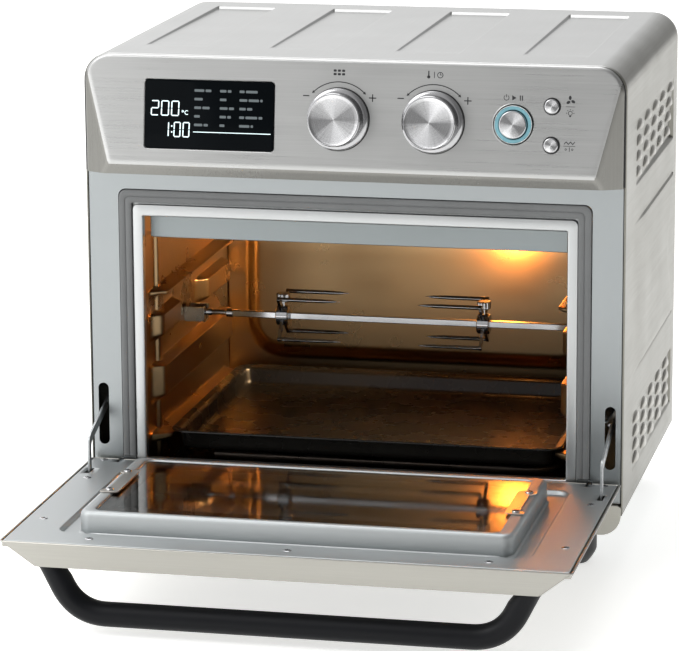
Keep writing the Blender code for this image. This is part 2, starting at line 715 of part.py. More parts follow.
def handle_path():
    """Centre line of the handle in x and z, left to right: two sloping legs and a straight bar."""
    top, foot, bend = (0.1715, DOOR_LOW), (0.1535, HANDLE_DROP), 0.022
    slope = Vector(top) - Vector(foot)
    run = slope.normalized() * bend
    right = []
    start, corner, end = Vector(foot) + run, Vector(foot), Vector(foot) - Vector((bend, 0))
    for step in range(7):
        t = step / 6
        point = (1 - t) ** 2 * start + 2 * t * (1 - t) * corner + t * t * end
        right.append((point.x, point.y))
    above = Vector(top) + slope.normalized() * 0.010
    right.insert(0, (above.x, above.y))
    return [(-x, z) for x, z in right] + right[::-1]


def build_handle():
    path = [(x, HANDLE_Y, z) for x, z in handle_path()]
    bar = tube("handle_bar_guide", path, HANDLE_RADIUS, BLACK_HANDLE, 3)
    graph = bpy.context.evaluated_depsgraph_get()
    mesh = bpy.data.meshes.new_from_object(bar.evaluated_get(graph))
    bpy.data.objects.remove(bar)
    mesh.shade_smooth()
    handle = bpy.data.objects.new("door_handle", mesh)
    handle.parent = CASING
    bpy.context.scene.collection.objects.link(handle)
    top = DOOR_LOW - GAP
    cut(handle, box("handle_trim", (-0.25, HANDLE_Y - 0.03, top), (0.25, HANDLE_Y + 0.03, top + 0.04)))


# --- control panel -----------------------------------------------------------------------------


def fascia_block(name, inset, rear):
    """The sloping front with its two tapering side facets, moved in by inset on every side."""
    half, high, low = HALF - inset, CASING_HEIGHT - inset, FASCIA_LOW + inset
    radius = SHOULDER_RADIUS - inset
    outline = rounded_rectangle((-half, low), (half, high), (0, 0, radius, radius), 6)
    bm = prism_mesh(outline, "Y", -0.030, rear)
    facet_slope = (FASCIA_TOP_Y - FASCIA_LOW_Y) / FASCIA_SIDE_INSET
    planes = [((0, FASCIA_TOP_Y, CASING_HEIGHT), Vector((0, -1, FASCIA_SLOPE)))]
    planes += [((sign * HALF, FASCIA_TOP_Y, 0), Vector((sign * facet_slope, -1, 0))) for sign in (-1, 1)]
    for point, normal in planes:
        normal.normalize()
        bmesh.ops.bisect_plane(
            bm,
            geom=bm.verts[:] + bm.edges[:] + bm.faces[:],
            plane_co=Vector(point) - normal * inset,
            plane_no=normal,
            clear_outer=True,
        )
        bmesh.ops.holes_fill(bm, edges=[e for e in bm.edges if e.is_boundary])
    return finish(name, bm, STEEL)


def panel_hole(name, outline):
    return on_panel(prism(name, outline, "Y", -0.006, 0.012))


def display_outline(grow):
    half_w, half_h = DISPLAY_WIDTH / 2 + grow, DISPLAY_HEIGHT / 2 + grow
    corners = ((DISPLAY_X - half_w, -half_h), (DISPLAY_X + half_w, half_h))
    return rounded_rectangle(*corners, (0.0025 + grow,) * 4, 3)


def build_fascia():
    fascia = fascia_block("control_fascia", 0, -GAP)
    holes = [
        fascia_block("fascia_hollow", FASCIA_WALL, 0.010),
        panel_hole("display_hole", display_outline(0.0004)),
        panel_hole("power_hole", circle((POWER_X, 0), RING_RADIUS + 0.0004, 24)),
    ]
    holes += [panel_hole(f"{name}_shaft_hole", circle((x, 0), 0.0042, 12)) for name, x in KNOB_XS.items()]
    holes += [
        panel_hole(f"small_hole_{i}", circle((SMALL_X, sign * SMALL_SPREAD), SMALL_RADIUS + 0.0004, 16))
        for i, sign in enumerate((1, -1))
    ]
    cut(fascia, *holes)


def build_display():
    on_panel(prism("display_window", display_outline(0), "Y", -0.0003, 0.0022, DISPLAY_GLASS))
    on_panel(box("control_board", (-0.170, 0.0105, -0.034), (0.180, 0.0121, 0.034), CIRCUIT))


def build_knob(name, x):
    """Stepped round knob with a blind bore for its encoder's shaft."""
    lip, face = -0.0010, -KNOB_LENGTH
    profile = [(0, face), (KNOB_RADIUS - 0.0010, face), (KNOB_RADIUS, face + 0.0010)]
    profile += [(KNOB_RADIUS, lip - 0.0045)]
    profile += [(KNOB_SKIRT_RADIUS - 0.0006, lip - 0.0045), (KNOB_SKIRT_RADIUS, lip - 0.0038)]
    profile += [(KNOB_SKIRT_RADIUS, lip), (0.0034, lip), (0.0034, -0.0125), (0, -0.0125)]
    on_panel(turned(f"{name}_knob", profile, "Y", (0, 0, 0), CHROME, 32)).location = (x, 0, 0)
    corners = ((-0.0070, 0.0035, -0.0065), (0.0070, 0.0101, 0.0065))
    encoder = on_panel(box(f"{name}_encoder", *corners, GALVANISED))
    shaft = on_panel(prism(f"{name}_shaft", circle((0, 0), 0.0030, 12), "Y", -0.0120, 0.0060))
    for obj in (encoder, shaft):
        obj.location = (x, 0, 0)
    join(encoder, shaft)


def build_button(name, x, z, radius, front):
    profile = [(0, front), (radius - 0.0007, front), (radius, front + 0.0007), (radius, 0.0040), (0, 0.0040)]
    on_panel(turned(name, profile, "Y", (0, 0, 0), CHROME, 24)).location = (x, 0, z)


def build_controls():
    build_fascia()
    build_display()
    for name, x in KNOB_XS.items():
        build_knob(name, x)
    build_button("power_button", POWER_X, 0, POWER_RADIUS, -0.0035)
    build_button("fan_button", SMALL_X, SMALL_SPREAD, SMALL_RADIUS, -0.0030)
    build_button("light_button", SMALL_X, -SMALL_SPREAD, SMALL_RADIUS, -0.0030)
    inner = POWER_RADIUS + 0.0006
    profile = [(inner, -0.0012), (RING_RADIUS, -0.0012), (RING_RADIUS, 0.0020), (inner, 0.0020)]
    on_panel(turned("power_light_ring", profile, "Y", (POWER_X, 0, 0), LIGHT_BLUE, 28))


# --- spit, fan, pan and tray -------------------------------------------------------------------


def build_spit():
    half = SPIT_BAR / 2
    corners = ((-0.1300, SPIT_Y - half, SPIT_Z - half), (0.1480, SPIT_Y + half, SPIT_Z + half))
    spit = box("rotisserie_spit", *corners, CHROME)
    journal = [(0, -0.1560), (0.0018, -0.1555), (0.0028, -0.1530), (0.0028, -0.1430)]
    journal += [(0.0020, -0.1420), (0.0020, -0.1310)]
    journal += [(0.0034, -0.1300), (0.0034, -0.1250), (0, -0.1250)]
    join(spit, turned("spit_journal", journal, "X", (0, SPIT_Y, SPIT_Z), CHROME, 12))
    move_origin(spit, (0, SPIT_Y, SPIT_Z))


def build_fork(suffix, sign):
    """Collar on the square bar, a cross of flat arms, four prongs pointing inwards and a thumbscrew."""
    x = -0.0840 if sign < 0 else 0.0770
    inward = -sign
    axis = (x, SPIT_Y, SPIT_Z)
    fork = turned(
        f"spit_fork_{suffix}",
        [(0, -0.0050), (0.0080, -0.0050), (0.0080, 0.0050), (0, 0.0050)],
        "X",
        axis,
        CHROME,
        16,
    )
    pieces = []
    for index in range(2):
        turn = Matrix.Rotation(math.pi / 4 + index * math.pi / 2, 4, "X")
        arm = box(f"fork_arm_{suffix}_{index}", (-0.0012, -0.0240, -0.0022), (0.0012, 0.0240, 0.0022))
        arm.data.transform(Matrix.Translation(axis) @ turn)
        pieces.append(arm)
        for end in (-1, 1):
            low, high = sorted((0, inward * 0.050))
            prong = box(
                f"fork_prong_{suffix}_{index}_{end}",
                (low, end * 0.0228 - 0.0013, -0.0013),
                (high, end * 0.0228 + 0.0013, 0.0013),
            )
            prong.data.transform(Matrix.Translation(axis) @ turn)
            pieces.append(prong)
    screw = [(0, 0.0060), (0.0022, 0.0060), (0.0022, 0.0120), (0.0055, 0.0120), (0.0055, 0.0180), (0, 0.0180)]
    pieces.append(turned(f"thumbscrew_{suffix}", screw, "Z", axis, CHROME, 12))
    join(fork, *pieces)
    half = SPIT_BAR / 2 + GAP
    corners = ((x - 0.02, SPIT_Y - half, SPIT_Z - half), (x + 0.02, SPIT_Y + half, SPIT_Z + half))
    bore = box(f"fork_bore_{suffix}", *corners)
    cut(fork, bore)


def build_spit_socket():
    profile = [(0, 0.1440), (0.0100, 0.1440), (0.0110, 0.1450), (0.0110, 0.1520), (0.0030, 0.1520)]
    profile += [(0.0030, 0.1695), (0, 0.1695)]
    socket = turned("spit_socket", profile, "X", (0, SPIT_Y, SPIT_Z), CHROME, 20)
    half = SPIT_BAR / 2 + GAP
    bore = box("socket_bore", (0.140, SPIT_Y - half, SPIT_Z - half), (0.1490, SPIT_Y + half, SPIT_Z + half))
    cut(socket, bore)


def build_fan():
    low = 0.2330
    hub = turned(
        "convection_fan",
        [(0, low), (0.0120, low), (0.0120, low + 0.0140)]
        + [(0.0028, low + 0.0140), (0.0028, 0.2630), (0, 0.2630)],
        "Z",
        (0, FAN_Y, 0),
        GALVANISED,
        16,
    )
    blades = []
    for index in range(8):
        blade = box(f"fan_blade_{index}", (0.0100, -0.0006, -0.0055), (0.0680, 0.0006, 0.0055))
        turn = Matrix.Rotation(2 * math.pi * index / 8, 4, "Z") @ Matrix.Rotation(math.radians(20), 4, "X")
        blade.data.transform(Matrix.Translation((0, FAN_Y, low + 0.0070)) @ turn)
        blades.append(blade)
    join(hub, *blades)
    move_origin(hub, (0, FAN_Y, 0))


def build_pan():
    """Shallow pan that hangs by its rim on the lowest ledges, a little right of the centre."""
    x0, x1, y0, y1 = -0.1510, 0.1550, 0.0220, 0.2480
    rim_low = LEDGE_TOPS[0] + GAP
    rim_top, low = rim_low + 0.0014, 0.0260
    rim = 0.0070
    outline = rounded_rectangle((x0, y0), (x1, y1), (0.014,) * 4)
    pan = prism("baking_pan", outline, "Z", rim_low, rim_top, ENAMEL)
    well = [(x0 + rim, y0 + 0.006), (x1 - rim, y1 - 0.006)]
    tub = prism("pan_tub", rounded_rectangle(*well, (0.012,) * 4), "Z", low, rim_top - 0.0002)
    inner = [(a + s * 0.001, b + s * 0.001) for (a, b), s in zip(well, (1, -1))]
    hollow = prism("pan_hollow", rounded_rectangle(*inner, (0.011,) * 4), "Z", low + 0.001, rim_top + 0.01)
    join(pan, tub)
    cut(pan, hollow)


def build_tray():
    z0 = WALL_LOW
    tray = box("crumb_tray", (-0.1580, 0.0100, z0), (0.1580, 0.2560, z0 + 0.0008), ENAMEL)
    join(tray, box("tray_edge", (-0.1580, 0.0100, z0), (0.1580, 0.0112, z0 + 0.0030)))


build_casing()
build_rear_cover()
build_base_pan()
build_front_frame()
build_cavity_lip()
build_gasket()
build_lower_trim()
build_cavity()
build_heater_shield()
build_heaters()
build_fan_housing()
build_lamp()
build_spit_mount()
build_cord_inlet()
build_feet()
for build in (build_hinge_bracket, build_hinge_pin, build_hinge_arm):
    both_sides(build)
for build in (build_hinge_spring, build_glass_clip, build_fork):
    both_sides(build)
build_door_shell()
build_door_inner_panel()
build_door_glass()
build_handle()
build_controls()
build_spit()
build_spit_socket()
build_fan()
build_pan()
build_tray()
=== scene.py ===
"""How the air fryer oven looks: sheet steel, seals, glass, controls and lit cavity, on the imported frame.

Metres, +Z up, front towards -Y. Most pieces are drawn in casing coordinates: x from the centre line,
y back from the casing's front edge, z up from the casing's underside.
"""

import math

import bmesh
import bpy
import numpy as np
from mathutils import Matrix, Vector


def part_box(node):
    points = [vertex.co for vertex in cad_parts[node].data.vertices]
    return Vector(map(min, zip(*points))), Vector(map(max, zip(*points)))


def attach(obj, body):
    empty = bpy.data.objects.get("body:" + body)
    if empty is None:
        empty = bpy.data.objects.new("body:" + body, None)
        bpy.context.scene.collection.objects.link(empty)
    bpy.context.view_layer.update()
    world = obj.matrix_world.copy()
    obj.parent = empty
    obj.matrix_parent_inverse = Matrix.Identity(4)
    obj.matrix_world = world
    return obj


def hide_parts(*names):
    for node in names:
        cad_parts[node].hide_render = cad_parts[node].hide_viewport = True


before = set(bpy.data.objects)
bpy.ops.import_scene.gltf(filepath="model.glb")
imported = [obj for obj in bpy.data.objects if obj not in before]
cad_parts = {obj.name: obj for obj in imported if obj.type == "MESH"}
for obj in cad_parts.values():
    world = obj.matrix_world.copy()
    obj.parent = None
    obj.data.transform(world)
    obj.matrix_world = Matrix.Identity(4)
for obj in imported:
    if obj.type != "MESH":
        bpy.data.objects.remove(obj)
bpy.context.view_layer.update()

MM = 0.001
SHEET = 0.8 * MM  # sheet steel

# Driving sizes, from the frame
casing_low, casing_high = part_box("outer_casing")
HALF = casing_high.x
HEIGHT = casing_high.z - casing_low.z
DEPTH = casing_high.y - casing_low.y
SHOULDER = 20 * MM
ORIGIN = Vector((0, casing_low.y, casing_low.z))
CASING = Matrix.Translation(ORIGIN)


def local_box(node):
    """A node's lowest and highest corners in casing coordinates."""
    low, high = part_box(node)
    return low - ORIGIN, high - ORIGIN


# --- shapes ------------------------------------------------------------------------------------

WELD_GAP = 0.01 * MM  # corners closer than this are one
LINE_GAP = 0.12 * MM  # grid lines closer than this are one


def mm(points):
    """Points given in millimetres."""
    return [tuple(value * MM for value in point) for point in points]


def mirrored(values):
    """Rising values from 0, and their negatives before them."""
    return np.concatenate([-values[:0:-1], values])


def arc(centre, radius, start, end, steps):
    """Points of an arc, angles in degrees."""
    angles = [math.radians(start + (end - start) * i / steps) for i in range(steps + 1)]
    return [(centre[0] + radius * math.cos(a), centre[1] + radius * math.sin(a)) for a in angles]


def circle(centre, radius, steps=32):
    return arc(centre, radius, 0, 360, steps)[:-1]


def rounded(low, high, radius, steps=6):
    """A rectangle with rounded corners; radius is one number, or one for each corner from the low left."""
    radii = radius if isinstance(radius, (tuple, list)) else (radius,) * 4
    (x0, y0), (x1, y1) = low, high
    corners = [(x0, y0, 1, 1), (x1, y0, -1, 1), (x1, y1, -1, -1), (x0, y1, 1, -1)]
    points = []
    for index, ((x, y, sx, sy), r) in enumerate(zip(corners, radii)):
        start = 180 + 90 * index
        points += arc((x + sx * r, y + sy * r), r, start, start + 90, steps) if r else [(x, y)]
    return points


AXES = {
    "X": (Vector((0, 1, 0)), Vector((0, 0, 1)), Vector((1, 0, 0))),
    "Y": (Vector((1, 0, 0)), Vector((0, 0, 1)), Vector((0, 1, 0))),
    "Z": (Vector((1, 0, 0)), Vector((0, 1, 0)), Vector((0, 0, 1))),
}


def add_box(bm, low, high, look=0):
    made = bmesh.ops.create_cube(bm, size=1)["verts"]
    bmesh.ops.scale(bm, vec=Vector(high) - Vector(low), verts=made)
    bmesh.ops.translate(bm, vec=(Vector(high) + Vector(low)) / 2, verts=made)
    for face in {f for v in made for f in v.link_faces}:
        face.material_index = look


def add_plate(bm, outlines, axis, low, high, look=0):
    """A flat plate between low and high on axis; the first outline is its edge, the others are holes."""
    first, second, along = AXES[axis]
    edges = []
    for outline in outlines:
        verts = [bm.verts.new(first * a + second * b + along * low) for a, b in outline]
        edges += [bm.edges.new((v, verts[i - 1])) for i, v in enumerate(verts)]
    made = bmesh.ops.triangle_fill(bm, edges=edges, use_beauty=True)
    faces = [f for f in made["geom"] if isinstance(f, bmesh.types.BMFace)]
    out = bmesh.ops.extrude_face_region(bm, geom=faces)["geom"]
    moved = [v for v in out if isinstance(v, bmesh.types.BMVert)]
    bmesh.ops.translate(bm, vec=along * (high - low), verts=moved)
    for face in {f for v in moved for f in v.link_faces} | set(faces):
        face.material_index = look


def add_turned(bm, profile, axis, centre=(0, 0, 0), segments=48, look=0, closed=False):
    """Turns (distance from the axis, place along it) points; a distance of 0 closes the surface there."""
    first, second, along = AXES[axis]
    centre = Vector(centre)
    rings = []
    for radius, place in profile:
        if radius == 0:
            rings.append([bm.verts.new(centre + along * place)])
            continue
        angles = [2 * math.pi * i / segments for i in range(segments)]
        round_points = [(first * math.cos(a) + second * math.sin(a)) * radius for a in angles]
        rings.append([bm.verts.new(centre + p + along * place) for p in round_points])
    pairs = list(zip(rings, rings[1:])) + ([(rings[-1], rings[0])] if closed else [])
    for one, two in pairs:
        for i in range(segments):
            j = (i + 1) % segments
            corners = [one[i % len(one)], one[j % len(one)], two[j % len(two)], two[i % len(two)]]
            face = bm.faces.new(dict.fromkeys(corners))
            face.material_index = look


def add_tube(bm, path, radius, segments):
    """A round bar along a path, its ends capped; the section turns with the path."""
    points = [Vector(p) for p in path]
    directions = []
    for i in range(len(points)):
        a = points[max(i - 1, 0)]
        b = points[min(i + 1, len(points) - 1)]
        directions.append((b - a).normalized())
    side = directions[0].orthogonal().normalized()
    rings = []
    for point, along in zip(points, directions):
        side = (side - along * side.dot(along)).normalized()
        other = along.cross(side)
        ring = []
        for k in range(segments):
            angle = 2 * math.pi * k / segments
            ring.append(bm.verts.new(point + (side * math.cos(angle) + other * math.sin(angle)) * radius))
        rings.append(ring)
    join_rings(bm, rings, capped=True)


def join_rings(bm, rings, capped=False, ring=False):
    """Quads between rings of corners; capped closes both ends, ring joins the last to the first."""
    pairs = list(zip(rings, rings[1:])) + ([(rings[-1], rings[0])] if ring else [])
    for one, two in pairs:
        for i in range(len(one)):
            j = (i + 1) % len(one)
            bm.faces.new((one[i], one[j], two[j], two[i]))
    if capped:
        bm.faces.new(rings[0][::-1])
        bm.faces.new(rings[-1])


def add_loft(bm, loops, capped=False, ring=False):
    """Joins loops of the same number of points, each a list of places."""
    rings = [[bm.verts.new(p) for p in loop] for loop in loops]
    join_rings(bm, rings, capped, ring)
    return rings


def weld(bm):
    bmesh.ops.remove_doubles(bm, verts=bm.verts, dist=WELD_GAP)


def lines(low, high, spacing, *fine):
    """Grid lines from low to high; each fine entry is (low, high, spacing) of a stretch with closer lines."""
    places = set()
    for start, end, step in ((low, high, spacing), *fine):
        start, end = max(start, low), min(end, high)
        if end > start:
            places |= set(np.round(np.linspace(start, end, max(2, round((end - start) / step) + 1)), 6))
    ordered = sorted(places)
    kept = [ordered[0]]
    for place in ordered[1:]:
        if place - kept[-1] > LINE_GAP:
            kept.append(place)
    return np.array(kept)


def ramp(value, low, high):
    t = np.clip((value - low) / (high - low), 0, 1)
    return t * t * (3 - 2 * t)


def smooth_max(a, b, width):
    t = np.clip(0.5 + 0.5 * (a - b) / width, 0, 1)
    return b + (a - b) * t + width * t * (1 - t)


def box_distance(u, v, low, high, radius=0.0):
    """Distance to a rounded rectangle, negative inside it."""
    du = np.abs(u - (low[0] + high[0]) / 2) - (high[0] - low[0]) / 2 + radius
    dv = np.abs(v - (low[1] + high[1]) / 2) - (high[1] - low[1]) / 2 + radius
    outside = np.hypot(np.maximum(du, 0), np.maximum(dv, 0))
    return outside + np.minimum(np.maximum(du, dv), 0) - radius


def polygon_distance(u, v, points):
    """Distance to a polygon, negative inside it."""
    nearest = np.full(u.shape, 1e9)
    inside = np.zeros(u.shape, bool)
    for (ax, ay), (bx, by) in zip(points, points[1:] + points[:1]):
        ex, ey = bx - ax, by - ay
        t = np.clip(((u - ax) * ex + (v - ay) * ey) / (ex * ex + ey * ey), 0, 1)
        nearest = np.minimum(nearest, np.hypot(u - ax - t * ex, v - ay - t * ey))
        crosses = (ay > v) != (by > v)
        with np.errstate(divide="ignore", invalid="ignore"):
            inside ^= crosses & (u < (bx - ax) * (v - ay) / (by - ay if by != ay else 1e-9) + ax)
    return np.where(inside, -nearest, nearest)


def pressed(distance, height, top_radius, foot_radius):
    """Height of a raised field with rolled edges: full where distance is well below 0, and 0 outside it."""
    top, foot = top_radius, foot_radius
    angles = np.radians(np.linspace(0, 90, 7))
    d = np.concatenate([-top + top * np.sin(angles), foot - foot * np.cos(angles) + 0.1 * MM])
    h = np.concatenate([height - top + top * np.cos(angles), foot - foot * np.sin(angles)])
    return np.interp(distance, d, h)


def grid_mesh(x, y, z, keep=None):
    """A sheet of quads over arrays of places; keep says which grid points stay."""
    n, m = x.shape
    index = np.arange(n * m).reshape(n, m)
    faces = np.stack([index[:-1, :-1], index[1:, :-1], index[1:, 1:], index[:-1, 1:]], -1).reshape(-1, 4)
    points = np.stack([x, y, z], -1).reshape(-1, 3)
    if keep is not None:
        faces = faces[keep.reshape(-1)[faces].all(1)]
        used = np.unique(faces)
        renumber = np.full(n * m, -1)
        renumber[used] = np.arange(len(used))
        points, faces = points[used], renumber[faces]
    bm = bmesh.new()
    verts = [bm.verts.new(p) for p in points]
    for face in faces:
        bm.faces.new([verts[i] for i in face])
    return bm


def solidify(obj, thickness, facing=None):
    """Thickens a sheet behind its faces, or, with facing, on the side away from that direction."""
    modifier = obj.modifiers.new("thickness", "SOLIDIFY")
    modifier.thickness = thickness
    behind = facing is None or obj.data.polygons[0].normal.dot(Vector(facing)) > 0
    modifier.offset = -1.0 if behind else 1.0


def bevel(obj, width, segments=2, angle=32):
    modifier = obj.modifiers.new("edges", "BEVEL")
    modifier.width = width
    modifier.segments = segments
    modifier.limit_method = "ANGLE"
    modifier.angle_limit = math.radians(angle)


def mesh_object(name, bm, place=None):
    """A new object in the scene with bm for its mesh, moved by place."""
    mesh = bpy.data.meshes.new(name)
    bm.to_mesh(mesh)
    bm.free()
    if place is not None:
        mesh.transform(place)
    obj = bpy.data.objects.new(name, mesh)
    bpy.context.scene.collection.objects.link(obj)
    return obj


def piece(name, bm, looks, body, *nodes, place=CASING, sharp=35, outward=True, origin=None):
    """Makes bm a shown piece of the body, standing for these CAD nodes.

    outward=False keeps its face directions. origin is where the piece's own axes go, for turned finishes.
    """
    if outward:
        bmesh.ops.recalc_face_normals(bm, faces=bm.faces)
    obj = mesh_object(name, bm, place)
    if origin is not None:
        obj.data.transform(origin.inverted())
        obj.matrix_world = origin
    obj.data.shade_smooth()
    obj.data.set_sharp_from_angle(angle=math.radians(sharp))
    looks = looks if isinstance(looks, (list, tuple)) else [looks]
    for look in looks:
        obj.data.materials.append(look)
    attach(obj, body)
    if nodes:
        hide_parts(*nodes)
    return obj


def plate_piece(name, outlines, axis, low, high, looks, body, *nodes, edge=0, segments=2, **settings):
    """A flat piece between low and high on axis, its edges rounded by edge."""
    bm = bmesh.new()
    add_plate(bm, outlines, axis, low, high)
    obj = piece(name, bm, looks, body, *nodes, **settings)
    if edge:
        bevel(obj, edge, segments)


def turned_piece(name, profile, axis, centre, segments, looks, body, *nodes, closed=False, **settings):
    """A piece turned from one profile of (distance from the axis, place along it) in millimetres."""
    bm = bmesh.new()
    add_turned(bm, mm(profile), axis, centre, segments, closed=closed)
    return piece(name, bm, looks, body, *nodes, **settings)


def sides():
    return (("left", -1), ("right", 1))


def span(sign, near, far):
    """Low and high x of a stretch from near to far on one side."""
    return (near, far) if sign > 0 else (-far, -near)


# --- materials ---------------------------------------------------------------------------------

NOISE_ROUGHNESS = 0.55
PAINTED_SIDE_SHADE = (0.50, 0.485, 0.435)  # painted shade: the casing's colour is multiplied by this on its sides, so they come out darker and warmer than the top


class Nodes:
    """A node tree being put together, with short calls for the usual nodes."""

    def __init__(self, tree):
        self.tree = tree

    def node(self, kind, **settings):
        made = self.tree.nodes.new(kind)
        for key, value in settings.items():
            setattr(made, key, value)
        return made

    def link(self, output, target):
        self.tree.links.new(output, target)

    def place(self, scale=(1, 1, 1)):
        """The object's own coordinates, stretched."""
        mapping = self.node("ShaderNodeMapping")
        mapping.inputs["Scale"].default_value = scale
        self.link(self.node("ShaderNodeTexCoord").outputs["Object"], mapping.inputs["Vector"])
        return mapping.outputs["Vector"]

    def parts(self, place):
        """The X, Y and Z of a place."""
        made = self.node("ShaderNodeSeparateXYZ")
        self.link(place, made.inputs["Vector"])
        return made.outputs

    def noise(self, place, scale, detail=3.0):
        made = self.node("ShaderNodeTexNoise")
        made.inputs["Scale"].default_value = scale
        made.inputs["Detail"].default_value = detail
        made.inputs["Roughness"].default_value = NOISE_ROUGHNESS
        self.link(place, made.inputs["Vector"])
        return made.outputs["Fac"]

    def streaks(self, along, scale, detail=2.0):
        """Noise that changes with one value only."""
        made = self.node("ShaderNodeTexNoise", noise_dimensions="1D")
        made.inputs["Scale"].default_value = scale
        made.inputs["Detail"].default_value = detail
        self.link(along, made.inputs["W"])
        return made.outputs["Fac"]

    def spread(self, value, low, high, from_low=0.3, from_high=0.7):
        """value carried from its usual range to low..high."""
        made = self.node("ShaderNodeMapRange")
        numbers = {"From Min": from_low, "From Max": from_high, "To Min": low, "To Max": high}
        for socket, number in numbers.items():
            made.inputs[socket].default_value = number
        self.link(value, made.inputs["Value"])
        return made.outputs["Result"]

    def maths(self, operation, a, b=0):
        made = self.node("ShaderNodeMath", operation=operation)
        for socket, value in zip(made.inputs, (a, b)):
            if isinstance(value, (int, float)):
                socket.default_value = value
            else:
                self.link(value, socket)
        return made.outputs["Value"]

    def blend(self, a, a_share, b, b_share):
        """The sum of two values, each times its share."""
        return self.maths("ADD", self.maths("MULTIPLY", a, a_share), self.maths("MULTIPLY", b, b_share))


class Look(Nodes):
    """A procedural material being put together."""

    def __init__(self, name, slot, colour=(0.8, 0.8, 0.8), roughness=0.5, **sockets):
        self.material = bpy.data.materials.new(name)
        self.material["slot"] = slot
        self.material.use_nodes = True
        super().__init__(self.material.node_tree)
        self.shader = self.tree.nodes["Principled BSDF"]
        self.shader.inputs["Base Color"].default_value = (*colour, 1)
        self.shader.inputs["Roughness"].default_value = roughness
        for socket, value in sockets.items():
            self.shader.inputs[socket.replace("_", " ")].default_value = value

    def tint(self, value, dark, light):
        """A colour between dark and light, chosen by value, into the base colour."""
        made = self.node("ShaderNodeMix", data_type="RGBA")
        self.link(value, made.inputs["Factor"])
        made.inputs[6].default_value = (*dark, 1)
        made.inputs[7].default_value = (*light, 1)
        self.link(made.outputs[2], self.shader.inputs["Base Color"])

    def mottle(self, value, colour, contrast):
        """The colour, a little darker or lighter with value."""
        self.tint(self.spread(value, 0, 1), shaded(colour, 1 - contrast), shaded(colour, 1 + contrast))

    def bump(self, height, distance):
        made = self.node("ShaderNodeBump")
        made.inputs["Distance"].default_value = distance
        self.link(height, made.inputs["Height"])
        self.link(made.outputs["Normal"], self.shader.inputs["Normal"])

    def rough(self, value, low, high):
        self.link(self.spread(value, low, high), self.shader.inputs["Roughness"])

    def paint_side_shade(self, shade):
        """Paints shade on a sheet: darkens it on the sides of the casing, fading in over the shoulders."""
        far = self.maths("ABSOLUTE", self.parts(self.place())["X"])
        mix = self.node("ShaderNodeMix", data_type="RGBA", blend_type="MULTIPLY")
        self.link(self.spread(far, 0, 1, HALF - SHOULDER, HALF - 2 * MM), mix.inputs["Factor"])
        self.link(self.shader.inputs["Base Color"].links[0].from_socket, mix.inputs[6])
        mix.inputs[7].default_value = (*shade, 1)
        self.link(mix.outputs[2], self.shader.inputs["Base Color"])


def shaded(colour, amount):
    return tuple(min(1.0, c * amount) for c in colour)


def brushed(name, slot, colour, roughness, along="X", grain=1.0, contrast=0.07, painted_side_shade=None):
    """Sheet steel with fine lines along one axis, faint broad bands and finger-soft patches, and, if asked,
    painted shade on the casing's sides.
    """
    look = Look(name, slot, colour, roughness, Metallic=1.0)
    fine_scale, band_scale = ([long if axis == along else short for axis in "XYZ"]
                              for long, short in ((14, 1500), (5, 260)))
    fine = look.noise(look.place(fine_scale), 1.0, 2.0)
    bands = look.noise(look.place(band_scale), 1.0)
    patches = look.noise(look.place(), 16.0)
    mixed = look.blend(fine, 0.75, bands, 0.25)
    look.mottle(mixed, colour, contrast)
    look.rough(look.blend(mixed, 0.6, patches, 0.4), roughness - 0.06, roughness + 0.07)
    look.bump(fine, 0.012 * MM * grain)
    if painted_side_shade:
        look.paint_side_shade(painted_side_shade)
    return look.material


def rolled(name, slot, colour, roughness, contrast=0.05):
    """Smooth rolled sheet: cloudy patches and a faint orange peel."""
    look = Look(name, slot, colour, roughness, Metallic=1.0)
    cloud = look.noise(look.place(), 22.0, 4.0)
    look.mottle(cloud, colour, contrast)
    look.rough(cloud, roughness - contrast, roughness + contrast)
    look.bump(look.noise(look.place(), 900.0, 2.0), 0.2 * contrast * MM)
    return look.material


def galvanised(name, colour, roughness):
    """Zinc coating with crystal flakes of slightly different greys."""
    look = Look(name, "galvanised_steel", colour, roughness, Metallic=1.0)
    flakes = look.node("ShaderNodeTexVoronoi")
    flakes.inputs["Scale"].default_value = 420.0
    look.link(look.place((1, 1, 1.4)), flakes.inputs["Vector"])
    value = look.node("ShaderNodeSeparateColor")
    look.link(flakes.outputs["Color"], value.inputs["Color"])
    mixed = look.blend(value.outputs["Red"], 0.5, look.noise(look.place(), 30.0), 0.5)
    look.tint(look.spread(mixed, 0, 1, 0.15, 0.85), shaded(colour, 0.84), shaded(colour, 1.12))
    look.rough(mixed, roughness - 0.05, roughness + 0.08)
    look.bump(look.noise(look.place(), 700.0), 0.02 * MM)
    return look.material


def chrome(name, colour=(0.78, 0.78, 0.78), roughness=0.10):
    """Bright plating with faint smears."""
    look = Look(name, "chrome", colour, roughness, Metallic=1.0)
    smears = look.noise(look.place((1, 1, 2.5)), 60.0, 4.0)
    look.rough(smears, roughness * 0.7, roughness * 1.5)
    look.tint(look.spread(smears, 0, 1), shaded(colour, 0.94), shaded(colour, 1.03))
    return look.material


